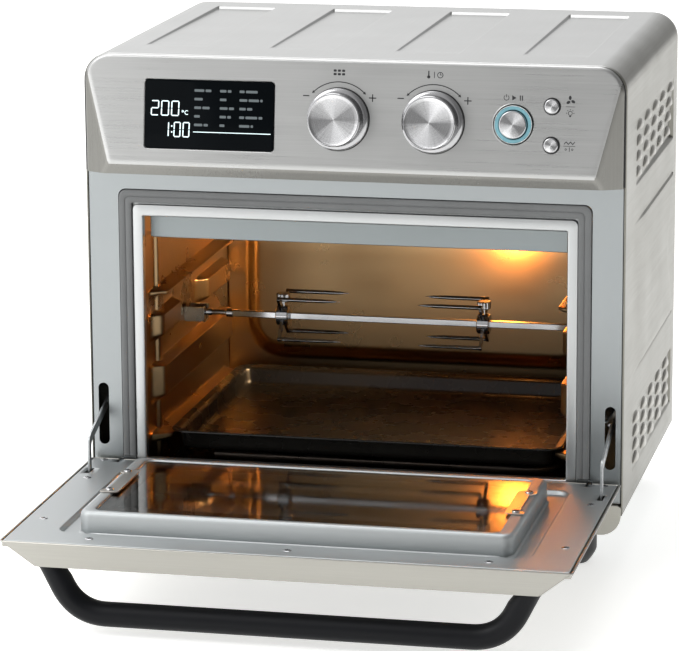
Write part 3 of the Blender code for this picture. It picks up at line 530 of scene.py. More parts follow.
def turned_face_painted_highlight(name, colour, roughness, angle):
    """Lathe-turned metal about its own Y axis: fine rings, and a painted highlight of light and dark lobes
    that fan out from the centre, set in the colour by angle.
    """
    look = Look(name, "chrome", colour, roughness, Metallic=1.0, Anisotropic=0.9)
    tangent = look.node("ShaderNodeTangent", direction_type="RADIAL", axis="Y")
    look.link(tangent.outputs["Tangent"], look.shader.inputs["Tangent"])
    parts = look.parts(look.place())
    # Painted highlight: the colour turns lighter and darker in lobes round the centre, placed by angle.
    turn = look.maths("SUBTRACT", look.maths("ARCTAN2", parts["Z"], parts["X"]), math.radians(angle))
    fan = look.maths("COSINE", look.maths("MULTIPLY", turn, 2))
    narrow = look.maths("COSINE", look.maths("MULTIPLY", turn, 6))
    painted_lobes = look.blend(look.blend(fan, 0.46, narrow, 0.10), 1.0, look.streaks(turn, 9.0, 4.0), 0.35)
    look.tint(look.spread(painted_lobes, 0, 1, -0.2, 0.6), shaded(colour, 0.42), shaded(colour, 1.35))
    squares = [look.maths("MULTIPLY", parts[axis], parts[axis]) for axis in "XZ"]
    rings = look.streaks(look.maths("SQRT", look.maths("ADD", *squares)), 2600.0)
    look.rough(rings, roughness - 0.05, roughness + 0.06)
    look.bump(rings, 0.006 * MM)
    return look.material


def moulded(name, slot, colour, roughness, grain_scale, grain_depth, wear=0.12, specular=0.5):
    """Plastic, rubber or satin paint: a fine grain and softly uneven gloss."""
    look = Look(name, slot, colour, roughness, Specular_IOR_Level=specular)
    cloud = look.noise(look.place(), 35.0)
    look.mottle(cloud, colour, wear)
    look.rough(cloud, roughness - 0.5 * wear, roughness + 0.6 * wear)
    look.bump(look.noise(look.place(), grain_scale), grain_depth)
    return look.material


def glass(name, slot, colour, roughness=0.02, transmission=1.0, ior=1.48):
    look = Look(name, slot, colour, roughness, Transmission_Weight=transmission, IOR=ior)
    smears = look.noise(look.place(), 40.0, 4.0)
    look.rough(smears, roughness, roughness + 0.04)
    return look.material


def glowing(name, slot, colour, strength, base=(0.02, 0.02, 0.02)):
    """Lit print or lens, a little uneven as the light behind it is."""
    look = Look(name, slot, base, 0.4)
    look.shader.inputs["Emission Color"].default_value = (*colour, 1)
    look.shader.inputs["Emission Strength"].default_value = strength
    look.mottle(look.noise(look.place(), 300.0, 2.0), base, 0.1)
    return look.material


# The casing's steel has painted shade on its sides, so they are darker and warmer than the top.
CASING_STEEL = brushed(
    "casing_steel", "brushed_steel", (0.45, 0.453, 0.448), 0.34, "Y", 0.6, 0.03, PAINTED_SIDE_SHADE
)
PANEL_STEEL = brushed("panel_steel", "brushed_steel", (0.455, 0.457, 0.452), 0.30, "X", 1.0, 0.045)
# The fascia's side facets and turned-under lip: the same steel brushed up and down, at half the brightness as
# painted shade.
SHADED_FACET_STEEL = brushed("facet_steel", "brushed_steel", (0.225, 0.222, 0.208), 0.30, "Z", 1.0, 0.06)
FRAME_STEEL = rolled("frame_steel", "brushed_steel", (0.325, 0.345, 0.352), 0.33, 0.03)
DOOR_STEEL = rolled("door_steel", "brushed_steel", (0.46, 0.48, 0.485), 0.48, 0.02)
LIP_STEEL = rolled("lip_steel", "cavity_steel", (0.50, 0.512, 0.515), 0.34, 0.02)
# The cavity's steel is tinted orange with the oven lamp's warm glow: painted lamp light.
LAMPLIT_CAVITY_STEEL = rolled("cavity_steel", "cavity_steel", (0.39, 0.265, 0.14), 0.28, 0.01)
GALVANISED = galvanised("galvanised_sheet", (0.42, 0.45, 0.47), 0.46)
ARM_STEEL = galvanised("zinc_plated_steel", (0.52, 0.54, 0.55), 0.33)
CHROME = chrome("chrome_plate", (0.50, 0.50, 0.51), 0.14)
# Chrome on the power ring's collar, its colour raised near white so it shows as a bright line: painted
# highlight.
COLLAR_PAINTED_HIGHLIGHT = chrome("collar_painted_highlight", (0.92, 0.93, 0.93), 0.30)
# Chrome darkened on the knobs' side walls: painted shade.
KNOB_SIDE_PAINTED_SHADE = chrome("knob_side", (0.16, 0.16, 0.165), 0.22)
BRACKET_STEEL = rolled("bracket_steel", "chrome", (0.30, 0.285, 0.26), 0.25, 0.08)
LOUVRE_STEEL = brushed("louvre_steel", "brushed_steel", (0.38, 0.37, 0.34), 0.30, "Y", 0.6, 0.03)
TRIM_STEEL = brushed("trim_steel", "brushed_steel", (0.43, 0.42, 0.38), 0.32, "X", 0.8, 0.04)
KNOB_RIM = chrome("knob_rim", (0.46, 0.46, 0.47), 0.13)
SHIELD_STEEL = rolled("shield_steel", "galvanised_steel", (0.27, 0.295, 0.30), 0.42, 0.04)
LAMP_LENS = glass("lamp_lens_glass", "tinted_glass", (1.0, 0.80, 0.55), 0.12, 0.6)
DOOR_SKIN = brushed("door_skin", "brushed_steel", (0.385, 0.376, 0.345), 0.32, "X", 0.8, 0.04)
CLIP_STEEL = rolled("clip_steel", "brushed_steel", (0.50, 0.47, 0.43), 0.30, 0.05)
# Each face's painted highlight lies at the angle given with it.
KNOB_FACES = {
    name: turned_face_painted_highlight(f"{name}_knob_face_painted_highlight", (0.60, 0.60, 0.61), 0.27, angle)
    for name, angle in (("function", 108), ("temperature", 72))
}
BUTTON_FACE = turned_face_painted_highlight("button_face_painted_highlight", (0.62, 0.62, 0.63), 0.25, 60)
SEAL = moulded("silicone_seal", "grey_silicone", (0.155, 0.160, 0.162), 0.55, 1400.0, 0.01 * MM, 0.06)
BLACK_PLASTIC = moulded("black_plastic", "black_plastic", (0.018, 0.018, 0.019), 0.50, 1600.0, 0.03 * MM)
SATIN_BLACK = moulded(
    "satin_black", "black_handle", (0.003, 0.0035, 0.005), 0.42, 1100.0, 0.012 * MM, specular=0.17
)
ENAMEL = moulded("pan_enamel", "black_enamel", (0.008, 0.007, 0.006), 0.27, 500.0, 0.02 * MM, 0.05, 0.25)
CLEAR_GLASS = glass("door_glass", "tinted_glass", (0.62, 0.58, 0.53))
SMOKED_GLASS = glass("smoked_glass", "tinted_glass", (0.10, 0.09, 0.08), transmission=0.85)
DISPLAY_GLASS = moulded("display_glass", "display_glass", (0.002, 0.003, 0.004), 0.10, 300.0, 0.0, 0.1, 0.035)
HEATER_TUBE = rolled("heater_tube", "heater_tube", (0.16, 0.13, 0.11), 0.45, 0.25)
CIRCUIT = moulded("circuit_board", "circuit_board", (0.03, 0.16, 0.06), 0.45, 300.0, 0.02 * MM)
# Black that stands for shade in louvre slits, rear slits, screw crosses and the knobs' grooves and bases:
# painted shadow.
PAINTED_SHADOW = moulded("shadow_black", "brushed_steel", (0.008, 0.008, 0.008), 0.75, 500.0, 0.02 * MM)
PRINT = moulded("printed_ink", "brushed_steel", (0.012, 0.012, 0.014), 0.5, 900.0, 0.0)
LIT_WHITE = glowing("lit_digits", "display_glass", (0.80, 0.97, 1.0), 1.6)
LIT_DIM = glowing("lit_menu", "display_glass", (0.42, 0.52, 0.56), 0.26)
LIT_TEAL = glowing("lit_ring", "lit_ring", (0.16, 0.42, 0.50), 0.32, (0.14, 0.28, 0.32))
LAMP_GLOW = glowing("lamp_glow", "tinted_glass", (1.0, 0.62, 0.28), 6.0, (0.8, 0.6, 0.4))


# --- housing -----------------------------------------------------------------------------------

STRAIGHT = HEIGHT - SHOULDER  # height of a side wall below its bend
BEND = math.pi / 2 * SHOULDER
TOP_FLAT = HALF - SHOULDER
WRAP = TOP_FLAT + BEND + STRAIGHT  # from the middle of the top to a side's lower edge


def wrap_place(v):
    """Place (x, z) and outward direction on the casing's section, v along it from the middle of the top."""
    a = np.abs(v)
    side = np.where(v < 0, -1.0, 1.0)
    angle = np.clip((a - TOP_FLAT) / SHOULDER, 0, math.pi / 2)
    x = np.minimum(a, TOP_FLAT) + SHOULDER * np.sin(angle)
    z = STRAIGHT + SHOULDER * np.cos(angle) - np.maximum(a - TOP_FLAT - BEND, 0)
    return side * x, z, side * np.sin(angle), np.cos(angle)


RECESS_XS = (-145.3 * MM, -48.4 * MM, 48.4 * MM, 145.3 * MM)
RECESS_HALF = 24 * MM
SIDE_FIELD = [(268, 212), (237, 155), (275, 97), (30, 97), (30, 212)]
UPPER_VENT = ((58 * MM, 240 * MM), (271 * MM, 291 * MM))
LOWER_VENT = ((51 * MM, 20 * MM), (275 * MM, 65 * MM))
VENT_COLUMNS = [(72 + 44.8 * i) * MM for i in range(5)]  # middles of the louvres, front to back
UPPER_ROWS = [z * MM for z in (281, 269, 257, 245)]
LOWER_ROWS = [z * MM for z in (55.5, 45, 34.5, 24)]


def half_width(z):
    """Half the casing's width at a height."""
    above = np.maximum(z - STRAIGHT, 0)
    return HALF - SHOULDER + np.sqrt(np.maximum(SHOULDER**2 - above**2, 0))


def top_relief(x, y):
    """Four shallow troughs that deepen towards the rear."""
    nearest = np.min([np.abs(x - centre) for centre in RECESS_XS], axis=0) - RECESS_HALF
    depth = 2.4 * MM * (0.45 * ramp(y, 42 * MM, 60 * MM) + 0.55 * np.clip((y - 45 * MM) / (217 * MM), 0, 1))
    return -depth * (1 - ramp(nearest, -0.7 * MM, 0.7 * MM)) * (1 - ramp(y, 264 * MM, 268 * MM))


def side_relief(y, z):
    """A raised field in the middle of the side, and a sunk field behind each group of louvres."""
    away = polygon_distance(y, z, mm(SIDE_FIELD))
    field = pressed(away, 1.3 * MM, 1.2 * MM, 1.2 * MM)
    groove = 1.1 * MM * np.exp(-((away / (1.5 * MM)) ** 2)) * (z < 205 * MM)
    field = (np.maximum(field, 0) - groove) * ramp(y, 36 * MM, 110 * MM)
    rear = 0.35 + 0.65 * ramp(y, 58 * MM, 240 * MM)
    upper_depth = 3.0 * MM * rear * np.clip((292 * MM - z) / (40 * MM), 0, 1)
    upper = upper_depth * (1 - ramp(box_distance(y, z, *UPPER_VENT), -2.4 * MM, 0.6 * MM))
    lower = 1.6 * MM * rear * (1 - ramp(box_distance(y, z, *LOWER_VENT), -1.8 * MM, 0.6 * MM))
    return field - upper - lower


def wrap_relief(v, y):
    x, z, _, _ = wrap_place(v)
    on_top = np.abs(v) < TOP_FLAT
    return np.where(on_top, top_relief(x, y), side_relief(y, z) * (np.abs(v) > TOP_FLAT + BEND))


def build_casing():
    """The wrapped sheet: top, shoulders and sides in one piece."""
    half_lines = lines(
        0, WRAP, 6 * MM,
        *((c + edge - 1.2 * MM, c + edge + 1.2 * MM, 0.3 * MM)
          for edge in (-RECESS_HALF, RECESS_HALF) for c in RECESS_XS if c > 0),
        (TOP_FLAT, TOP_FLAT + BEND, 2.4 * MM),
        *((WRAP - z * MM - 3 * MM, WRAP - z * MM + 3 * MM, 1 * MM) for z in (291, 240, 214, 96, 65, 20)),
        (WRAP - 208 * MM, WRAP - 102 * MM, 2.1 * MM),
    )
    across = mirrored(half_lines)
    along = lines(0, DEPTH, 6 * MM, (48 * MM, 60 * MM, 1.5 * MM), (232 * MM, 278 * MM, 1.15 * MM))
    v, y = np.meshgrid(across, along, indexing="ij")
    x, z, nx, nz = wrap_place(v)
    height = wrap_relief(v, y)
    bm = grid_mesh(x + nx * height, y, z + nz * height)
    casing = piece("outer_casing_sheet", bm, CASING_STEEL, "oven", "outer_casing", sharp=50)
    if casing.data.polygons[0].normal.x > 0:  # the first face is on the left side
        casing.data.flip_normals()
    solidify(casing, SHEET)


def louvre(bm, centre_y, centre_z, sign):
    """An eyebrow louvre on a side wall: a quarter dome, open below, with the slit under it painted black as
    shadow.
    """
    length, height, rise = 13.0 * MM, 6.6 * MM, 2.6 * MM  # half its length, and how far it stands out
    steps_long, steps_up = 14, 7
    base = HALF + side_relief(np.array([centre_y]), np.array([centre_z + 2 * MM]))[0]
    rows = []
    for j in range(steps_up + 1):
        tilt = math.pi / 2 * j / steps_up
        row = []
        for i in range(steps_long + 1):
            a = -math.cos(math.pi * i / steps_long)
            reach = math.sqrt(max(0.0, 1 - a * a))
            row.append((
                sign * (base + rise * reach * math.cos(tilt)),
                centre_y + length * a,
                centre_z + height * reach * math.sin(tilt),
            ))
        rows.append([bm.verts.new(p) for p in row])
    for one, two in zip(rows, rows[1:]):
        for i in range(steps_long):
            bm.faces.new((one[i], one[i + 1], two[i + 1], two[i]))
    reach = length * 0.92
    # The slit under the hood, painted black as shadow.
    low, high = (centre_y - reach, centre_z - 0.7 * MM), (centre_y + reach, centre_z + 1.2 * MM)
    mouth = rounded(low, high, 0.9 * MM, 4)
    x0, x1 = sorted((sign * (base - 0.4 * MM), sign * (base + 0.12 * MM)))
    add_plate(bm, [mouth], "X", x0, x1, look=1)


def build_louvres():
    for suffix, sign in sides():
        for group, rows in (("upper", UPPER_ROWS), ("lower", LOWER_ROWS)):
            bm = bmesh.new()
            for y in VENT_COLUMNS:
                for z in rows:
                    louvre(bm, y, z + 1 * MM, sign)
            piece(f"vent_louvres_{group}_{suffix}", bm, [LOUVRE_STEEL, PAINTED_SHADOW], "oven", sharp=50)


def build_front_frame():
    """The grey front sheet round the cavity, its opening and slots pressed in."""
    half = HALF - 1.5 * MM
    low, high = local_box("front_frame")
    outer = rounded((-half, low.z), (half, high.z), 0.8 * MM, 3)
    rail, opening, lip = 26.2 * MM, 180.8 * MM, 170.4 * MM
    inner = [(-opening, rail), (-lip, rail), (-lip, 17 * MM), (lip, 17 * MM), (lip, rail), (opening, rail)]
    inner += rounded((-opening, 100 * MM), (opening, 235 * MM), 6 * MM, 6)[14:]
    slots = []
    for _, sign in sides():
        x0, x1 = span(sign, 191.4 * MM, 199.6 * MM)
        slots.append(rounded((x0, 34.8 * MM), (x1, 83.2 * MM), 4.05 * MM, 6))
        x0, x1 = span(sign, 178.8 * MM, 183.2 * MM)
        slots.append(rounded((x0, 13.5 * MM), (x1, 24.7 * MM), 0.6 * MM, 2))
    plate_piece(
        "front_frame_sheet", [outer, inner, *slots], "Y", low.y, high.y, FRAME_STEEL, "oven", "front_frame",
        edge=0.35 * MM,
    )
    # A black strip behind the gap between the frame and the casing's sides: painted shadow.
    bm = bmesh.new()
    for _, sign in sides():
        x0, x1 = span(sign, half - 4 * MM, HALF - SHEET - 0.1 * MM)
        strip = rounded((x0, low.z), (x1, high.z), 0.3 * MM, 2)
        add_plate(bm, [strip], "Y", high.y + 0.2 * MM, high.y + 1 * MM)
    piece("frame_gap_shadow_strip", bm, BLACK_PLASTIC, "oven")


def build_cavity_lip():
    """Bright flat flange round the cavity's mouth, with the channel that holds the seal."""
    mouth = ((-162.2 * MM, 25.2 * MM), (162.2 * MM, 214.3 * MM))
    section = [  # how far outside the mouth, and how far back
        (0.8, 7.4), (0, 7.4), (0, 2.2), (0.2, 1.5), (0.7, 1.1), (1.4, 1.0), (7.2, 1.0), (7.6, 1.15),
        (7.8, 1.6), (7.8, 5.4), (7.0, 5.4), (7.0, 1.8), (0.8, 1.8),
    ]
    loops = []
    for grow, y in section:
        radius = (1.4 + grow * 0.35) * MM
        (x0, z0), (x1, z1) = mouth
        edge = rounded((x0 - grow * MM, z0 - grow * MM), (x1 + grow * MM, z1 + grow * 1.12 * MM), radius, 5)
        loops.append([(x, y * MM, z) for x, z in edge])
    bm = bmesh.new()
    add_loft(bm, loops, ring=True)
    channel = [(-180.5, 26.5), (-180.5, 230), (-175, 234.7), (175, 234.7), (180.5, 230), (180.5, 26.5)]
    channel += [(166.5, 26.5), (166.5, 219), (-166.5, 219), (-166.5, 26.5)]
    add_plate(bm, [mm(channel)], "Y", 5.0 * MM, 5.8 * MM)
    piece("cavity_mouth_lip", bm, LIP_STEEL, "oven", "cavity_lip", sharp=40)


def build_gasket():
    """Soft seal with two rounded ribs, on both sides and the top."""
    section = [(-4.9, 3.9), (-4.9, 0.4)]
    angles = np.linspace(math.pi, 0.0, 9)
    for centre, half, height in ((-2.55, 2.35, 0.8), (2.45, 2.45, 0.65)):
        section += [(centre + half * math.cos(t), -height * math.sin(t)) for t in angles]
    section += [(4.9, 0.4), (4.9, 3.9)]
    half, low, high = 175.3 * MM, 27.0 * MM, 229.6 * MM
    bm = bmesh.new()
    rows = []
    for a, y in section:
        radius = (1.6 + 0.9 * (a + 4.9) / 2) * MM
        x, z = half + a * MM, high + a * MM
        path = [(-x, low), (-x, low + 60 * MM)] + arc((-x + radius, z - radius), radius, 180, 90, 7)
        path += arc((x - radius, z - radius), radius, 90, 0, 7) + [(x, low + 60 * MM), (x, low)]
        rows.append([bm.verts.new((px, y * MM, pz)) for px, pz in path])
    for one, two in zip(rows, rows[1:] + rows[:1]):
        for i in range(len(one) - 1):
            bm.faces.new((one[i], one[i + 1], two[i + 1], two[i]))
    for end in (0, -1):
        bm.faces.new([row[end] for row in rows])
    piece("door_seal", bm, SEAL, "oven", "door_gasket", sharp=40)


def build_trim_and_feet():
    low, high = local_box("lower_trim")
    outline = rounded((low.x, low.z), (high.x, high.z), (15 * MM, 15 * MM, 3 * MM, 3 * MM), 8)
    plate_piece(
        "lower_front_trim", [outline], "Y", low.y, high.y, TRIM_STEEL, "oven", "lower_trim",
        edge=1.1 * MM, segments=3,
    )
    profile = [
        (0, -44.4), (8.5, -44.4), (9, -45), (11.4, -45), (12, -44.4), (14.6, -41), (16.9, -37.2), (17.8, -35),
        (18, -33), (18, -22), (17.4, -21.4), (17.4, -20.6), (18, -20), (18, -4), (17.5, -0.9), (17, -0.3),
        (0, -0.3),
    ]
    for place in ("front_left", "front_right", "rear_left", "rear_right"):
        low, high = local_box(f"foot_{place}")
        centre = ((low.x + high.x) / 2, (low.y + high.y) / 2, 0)
        node = f"foot_{place}"
        turned_piece(f"moulded_{node}", profile, "Z", centre, 56, BLACK_PLASTIC, "oven", node, sharp=40)


def add_screw(bm, centre, axis, radius=3.4 * MM, look=0, height=1.2 * MM):
    """A pan head standing on centre, its cross recess painted black as shadow in the piece's second look."""
    first, second, along = AXES[axis]
    profile = [(1, 0), (1, 0.35), (0.86, 0.8), (0.55, 1), (0, 1)]
    add_turned(bm, [(radius * r, height * h) for r, h in profile], axis, centre, 20, look)
    top = Vector(centre) + along * height
    for a, b in ((first, second), (second, first)):
        size = (a * radius * 1.05 + b * radius * 0.24) / 2 + along * 0.12 * MM
        add_box(bm, top - size, top + size, look=1)


def build_rear():
    """Back sheet with a raised field, three rows of slits painted black as shadow under their hoods, its
    screws, and the cord's bushing.
    """
    low, high = local_box("rear_cover")
    margin = 1.0 * MM
    fine = 1.5 * MM
    x_lines = lines(
        low.x + margin, high.x - margin, 8 * MM, (-160 * MM, -128 * MM, fine), (128 * MM, 160 * MM, fine)
    )
    z_lines = lines(
        low.z + margin, high.z - margin, 8 * MM, (20 * MM, 42 * MM, fine), (286 * MM, high.z, fine)
    )
    x, z = np.meshgrid(x_lines, z_lines, indexing="ij")
    x = x * half_width(z) / HALF
    away = box_distance(x, z, (-145 * MM, 30 * MM), (145 * MM, 298 * MM), 12 * MM)
    field = pressed(away, 1.6 * MM, 1.5 * MM, 1.5 * MM)
    bm = grid_mesh(x, np.full(x.shape, low.y + 0.2 * MM) + field, z)
    sheet = piece("rear_sheet", bm, GALVANISED, "oven", "rear_cover", sharp=50, outward=False)
    solidify(sheet, SHEET)
    bm = bmesh.new()
    for row in (238 * MM, 252 * MM, 266 * MM):
        for index in range(9):
            cx = (index - 4) * 30 * MM
            outline = rounded((cx - 11 * MM, row - 2 * MM), (cx + 11 * MM, row + 2 * MM), 1.9 * MM, 5)
            # The slit, painted black as shadow under its hood.
            add_plate(bm, [outline], "Y", high.y + 0.4 * MM, high.y + 0.95 * MM, look=1)
            corners = ((-11.5, 2), (11.5, 2), (10, 4.2), (-10, 4.2))
            hood = [(cx + side * MM, row + up * MM) for side, up in corners]
            add_plate(bm, [hood], "Y", high.y + 0.7 * MM, high.y + 2.6 * MM)
    for cx, cz in ((-190, 20), (190, 20), (-190, 170), (190, 170), (-175, 322), (0, 322), (175, 322)):
        add_screw(bm, (cx * MM, high.y - 0.3 * MM, cz * MM), "Y", look=2)
    piece("rear_slits_and_screws", bm, [GALVANISED, PAINTED_SHADOW, ARM_STEEL], "oven", sharp=35)
    low, high = local_box("cord_inlet")
    centre = ((low.x + high.x) / 2, 0, (low.z + high.z) / 2)
    profile = [
        (0, 299.6), (6.5, 299.6), (7.2, 300), (8.6, 300), (9, 299.5), (9.6, 298.2), (9.2, 297.6),
        (10.4, 296.8), (10.1, 296.2), (11.6, 295.4), (12, 294.8), (12, 293.7), (7.6, 293.6), (7.6, 288.2),
        (7, 288), (0, 288),
    ]
    turned_piece("cord_bushing", profile, "Y", centre, 40, BLACK_PLASTIC, "oven", "cord_inlet", sharp=30)


build_casing()
build_louvres()
build_front_frame()
build_cavity_lip()
build_gasket()
build_trim_and_feet()
build_rear()


# --- control panel -----------------------------------------------------------------------------

FASCIA_LOW = 248.5 * MM
FASCIA_TOP_Y, FASCIA_LOW_Y = -3.0 * MM, -14.5 * MM
FASCIA_SLOPE = (FASCIA_TOP_Y - FASCIA_LOW_Y) / (HEIGHT - FASCIA_LOW)
FACET_SLOPE = 0.5
LIP_Z, LIP_SLOPE = 257 * MM, 0.30
RIM_RADIUS = 2.5 * MM
PANEL_INSET = 1.2 * MM  # the panel stands in from the casing's sides, so that a dark joint shows
FASCIA_BACK = -1.1 * MM
CONTROLS_Z = 294.6 * MM
CONTROLS_Y = FASCIA_TOP_Y - FASCIA_SLOPE * (HEIGHT - CONTROLS_Z)
PANEL = Matrix.Translation(ORIGIN + Vector((0, CONTROLS_Y, CONTROLS_Z)))
PANEL @= Matrix.Rotation(-math.atan(FASCIA_SLOPE), 4, "X")
DISPLAY_X, DISPLAY_HALF, DISPLAY_HIGH = -106.5 * MM, 49.5 * MM, 25.6 * MM
KNOBS = {"function": -7.8 * MM, "temperature": 63.5 * MM}
POWER_X, SMALL_X, SMALL_SPREAD = 122.9 * MM, 151.4 * MM, 14.2 * MM
INK, INK_THICK = -0.09 * MM, 0.05 * MM  # front of the printed marks, and their thickness


def facet_start(z):
    """How far from the middle the panel's side facets start at a height."""
    return HALF - FASCIA_SLOPE / FACET_SLOPE * (HEIGHT - z)


def fascia_y(x, z):
    main = FASCIA_TOP_Y - FASCIA_SLOPE * (HEIGHT - z)
    facet = FASCIA_TOP_Y - FACET_SLOPE * (HALF - np.abs(x))
    lip = FASCIA_TOP_Y - FASCIA_SLOPE * (HEIGHT - LIP_Z) + LIP_SLOPE * (LIP_Z - z)
    face = smooth_max(smooth_max(main, facet, 1.6 * MM), lip, 1.4 * MM)
    inside = -box_distance(x, z, (-HALF + PANEL_INSET, -0.2), (HALF - PANEL_INSET, HEIGHT), SHOULDER)
    short = np.clip(RIM_RADIUS - inside, 0, RIM_RADIUS)
    return np.minimum(face + RIM_RADIUS - np.sqrt(RIM_RADIUS**2 - short**2), FASCIA_BACK)


def carved(obj, *cutters):
    """Cuts the cutters out of obj for good and removes them."""
    for cutter in cutters:
        modifier = obj.modifiers.new("cut", "BOOLEAN")
        modifier.operation = "DIFFERENCE"
        modifier.solver = "EXACT"
        modifier.object = cutter
    bpy.context.view_layer.update()
    mesh = bpy.data.meshes.new_from_object(obj.evaluated_get(bpy.context.evaluated_depsgraph_get()))
    obj.modifiers.clear()
    obj.data = mesh
    for cutter in cutters:
        bpy.data.objects.remove(cutter)


def panel_cutter(outline, grown):
    """A hole through the panel with a chamfered mouth: outline at depth, grown at the face."""
    bm = bmesh.new()
    places = ((grown, -6 * MM), (grown, 0.05 * MM), (outline, 0.65 * MM), (outline, 12 * MM))
    add_loft(bm, [[(x, y, z) for x, z in loop] for loop, y in places], capped=True)
    bmesh.ops.recalc_face_normals(bm, faces=bm.faces)
    return mesh_object("cutter", bm, PANEL)


def display_outline(grow):
    low = (DISPLAY_X - DISPLAY_HALF - grow, -DISPLAY_HIGH - grow)
    high = (DISPLAY_X + DISPLAY_HALF + grow, DISPLAY_HIGH + grow)
    return rounded(low, high, 2.5 * MM + grow, 5)


def build_fascia():
    """Sloping front with tapering sides, a rolled rim and a turned-under lower edge."""
    crease = 0.88  # share of the half width where the side facet starts
    t_lines = mirrored(lines(0, 1, 0.03, (crease - 0.016, crease + 0.1, 0.0035), (0.975, 1, 0.0035)))
    z_lines = lines(
        FASCIA_LOW, HEIGHT, 4 * MM, (FASCIA_LOW, LIP_Z + 4 * MM, 0.6 * MM),
        (HEIGHT - SHOULDER, HEIGHT - 4 * MM, 1.3 * MM), (HEIGHT - 4 * MM, HEIGHT, 0.28 * MM),
    )
    t, z = np.meshgrid(t_lines, z_lines, indexing="ij")
    half = half_width(z) - PANEL_INSET
    bend = np.minimum(facet_start(z), half - 2.2 * MM)
    outer = bend + (np.abs(t) - crease) / (1 - crease) * (half - bend)
    x = np.sign(t) * np.where(np.abs(t) < crease, np.abs(t) / crease * bend, outer)
    y = fascia_y(x, z)
    x, y, z = (np.concatenate([a[:1], a, a[-1:]], axis=0) for a in (x, y, z))
    x, y, z = (np.concatenate([a[:, :1], a, a[:, -1:]], axis=1) for a in (x, y, z))
    y[0], y[-1], y[:, 0], y[:, -1] = (FASCIA_BACK + 0.3 * MM,) * 4
    z[:, 0] += 0.02 * MM
    bm = grid_mesh(x, y, z)
    rim = [e for e in bm.edges if e.is_boundary]
    bmesh.ops.holes_fill(bm, edges=rim)
    weld(bm)
    bmesh.ops.recalc_face_normals(bm, faces=bm.faces)
    # Faces on the side facets and the turned-under lip take the darker facet steel: painted shade.
    for face in bm.faces:
        middle = face.calc_center_median()
        on_facet = abs(middle.x) > facet_start(middle.z)
        face.material_index = int(on_facet or middle.z < LIP_Z - 0.8 * MM)
    fascia = piece("control_panel_sheet", bm, [PANEL_STEEL, SHADED_FACET_STEEL], "oven", "control_fascia", sharp=30)
    holes = [((POWER_X, 0), 15 * MM, 15.7 * MM, 64)]
    holes += [((SMALL_X, s * SMALL_SPREAD), 5.8 * MM, 6.5 * MM, 32) for s in (1, -1)]
    holes += [((x, 0), 5 * MM, 5.1 * MM, 24) for x in KNOBS.values()]
    cutters = [panel_cutter(display_outline(0.3 * MM), display_outline(1.0 * MM))]
    cutters += [panel_cutter(circle(at, r, steps), circle(at, mouth, steps)) for at, r, mouth, steps in holes]
    carved(fascia, *cutters)
    inset = 0.15 * MM
    low, high = (-HALF + inset, FASCIA_LOW + 0.6 * MM), (HALF - inset, HEIGHT - 1.2 * MM)
    outline = rounded(low, high, (0, 0, SHOULDER, SHOULDER), 8)
    plate_piece("panel_carrier", [outline], "Y", FASCIA_BACK + 0.35 * MM, -0.1 * MM, BLACK_PLASTIC, "oven")


SEGMENTS = {"0": "abcdef", "1": "bc", "2": "abged"}
LIT_THICK = 0.04 * MM  # thickness of the display's lit shapes


def add_digit(bm, character, left, low, width, height, thick, front):
    """A seven-segment digit, slightly slanted, its bars pointed and with gaps between them."""
    slant, short, point = 0.03, 0.56, 0.45  # the last two as shares of a bar's thickness
    middle = height / 2
    bars = {
        "a": ((0, height), (width, height)), "b": ((width, height), (width, middle)),
        "c": ((width, middle), (width, 0)), "d": ((width, 0), (0, 0)), "e": ((0, 0), (0, middle)),
        "f": ((0, middle), (0, height)), "g": ((0, middle), (width, middle)),
    }
    for key in SEGMENTS[character]:
        start, end = (Vector(p) for p in bars[key])
        along = (end - start).normalized()
        across = Vector((-along.y, along.x)) * thick / 2
        start, end = start + along * thick * short, end - along * thick * short
        tip = along * thick * point
        outline = [start - tip, start - across, end - across, end + tip, end + across, start + across]
        outline = [(left + p.x + p.y * slant, low + p.y) for p in outline]
        add_plate(bm, [outline], "Y", front, front + LIT_THICK)


def bar(bm, x, z, width, height, front=INK):
    outline = rounded((x, z), (x + width, z + height), min(width, height) * 0.3, 3)
    add_plate(bm, [outline], "Y", front, front + 0.06 * MM)


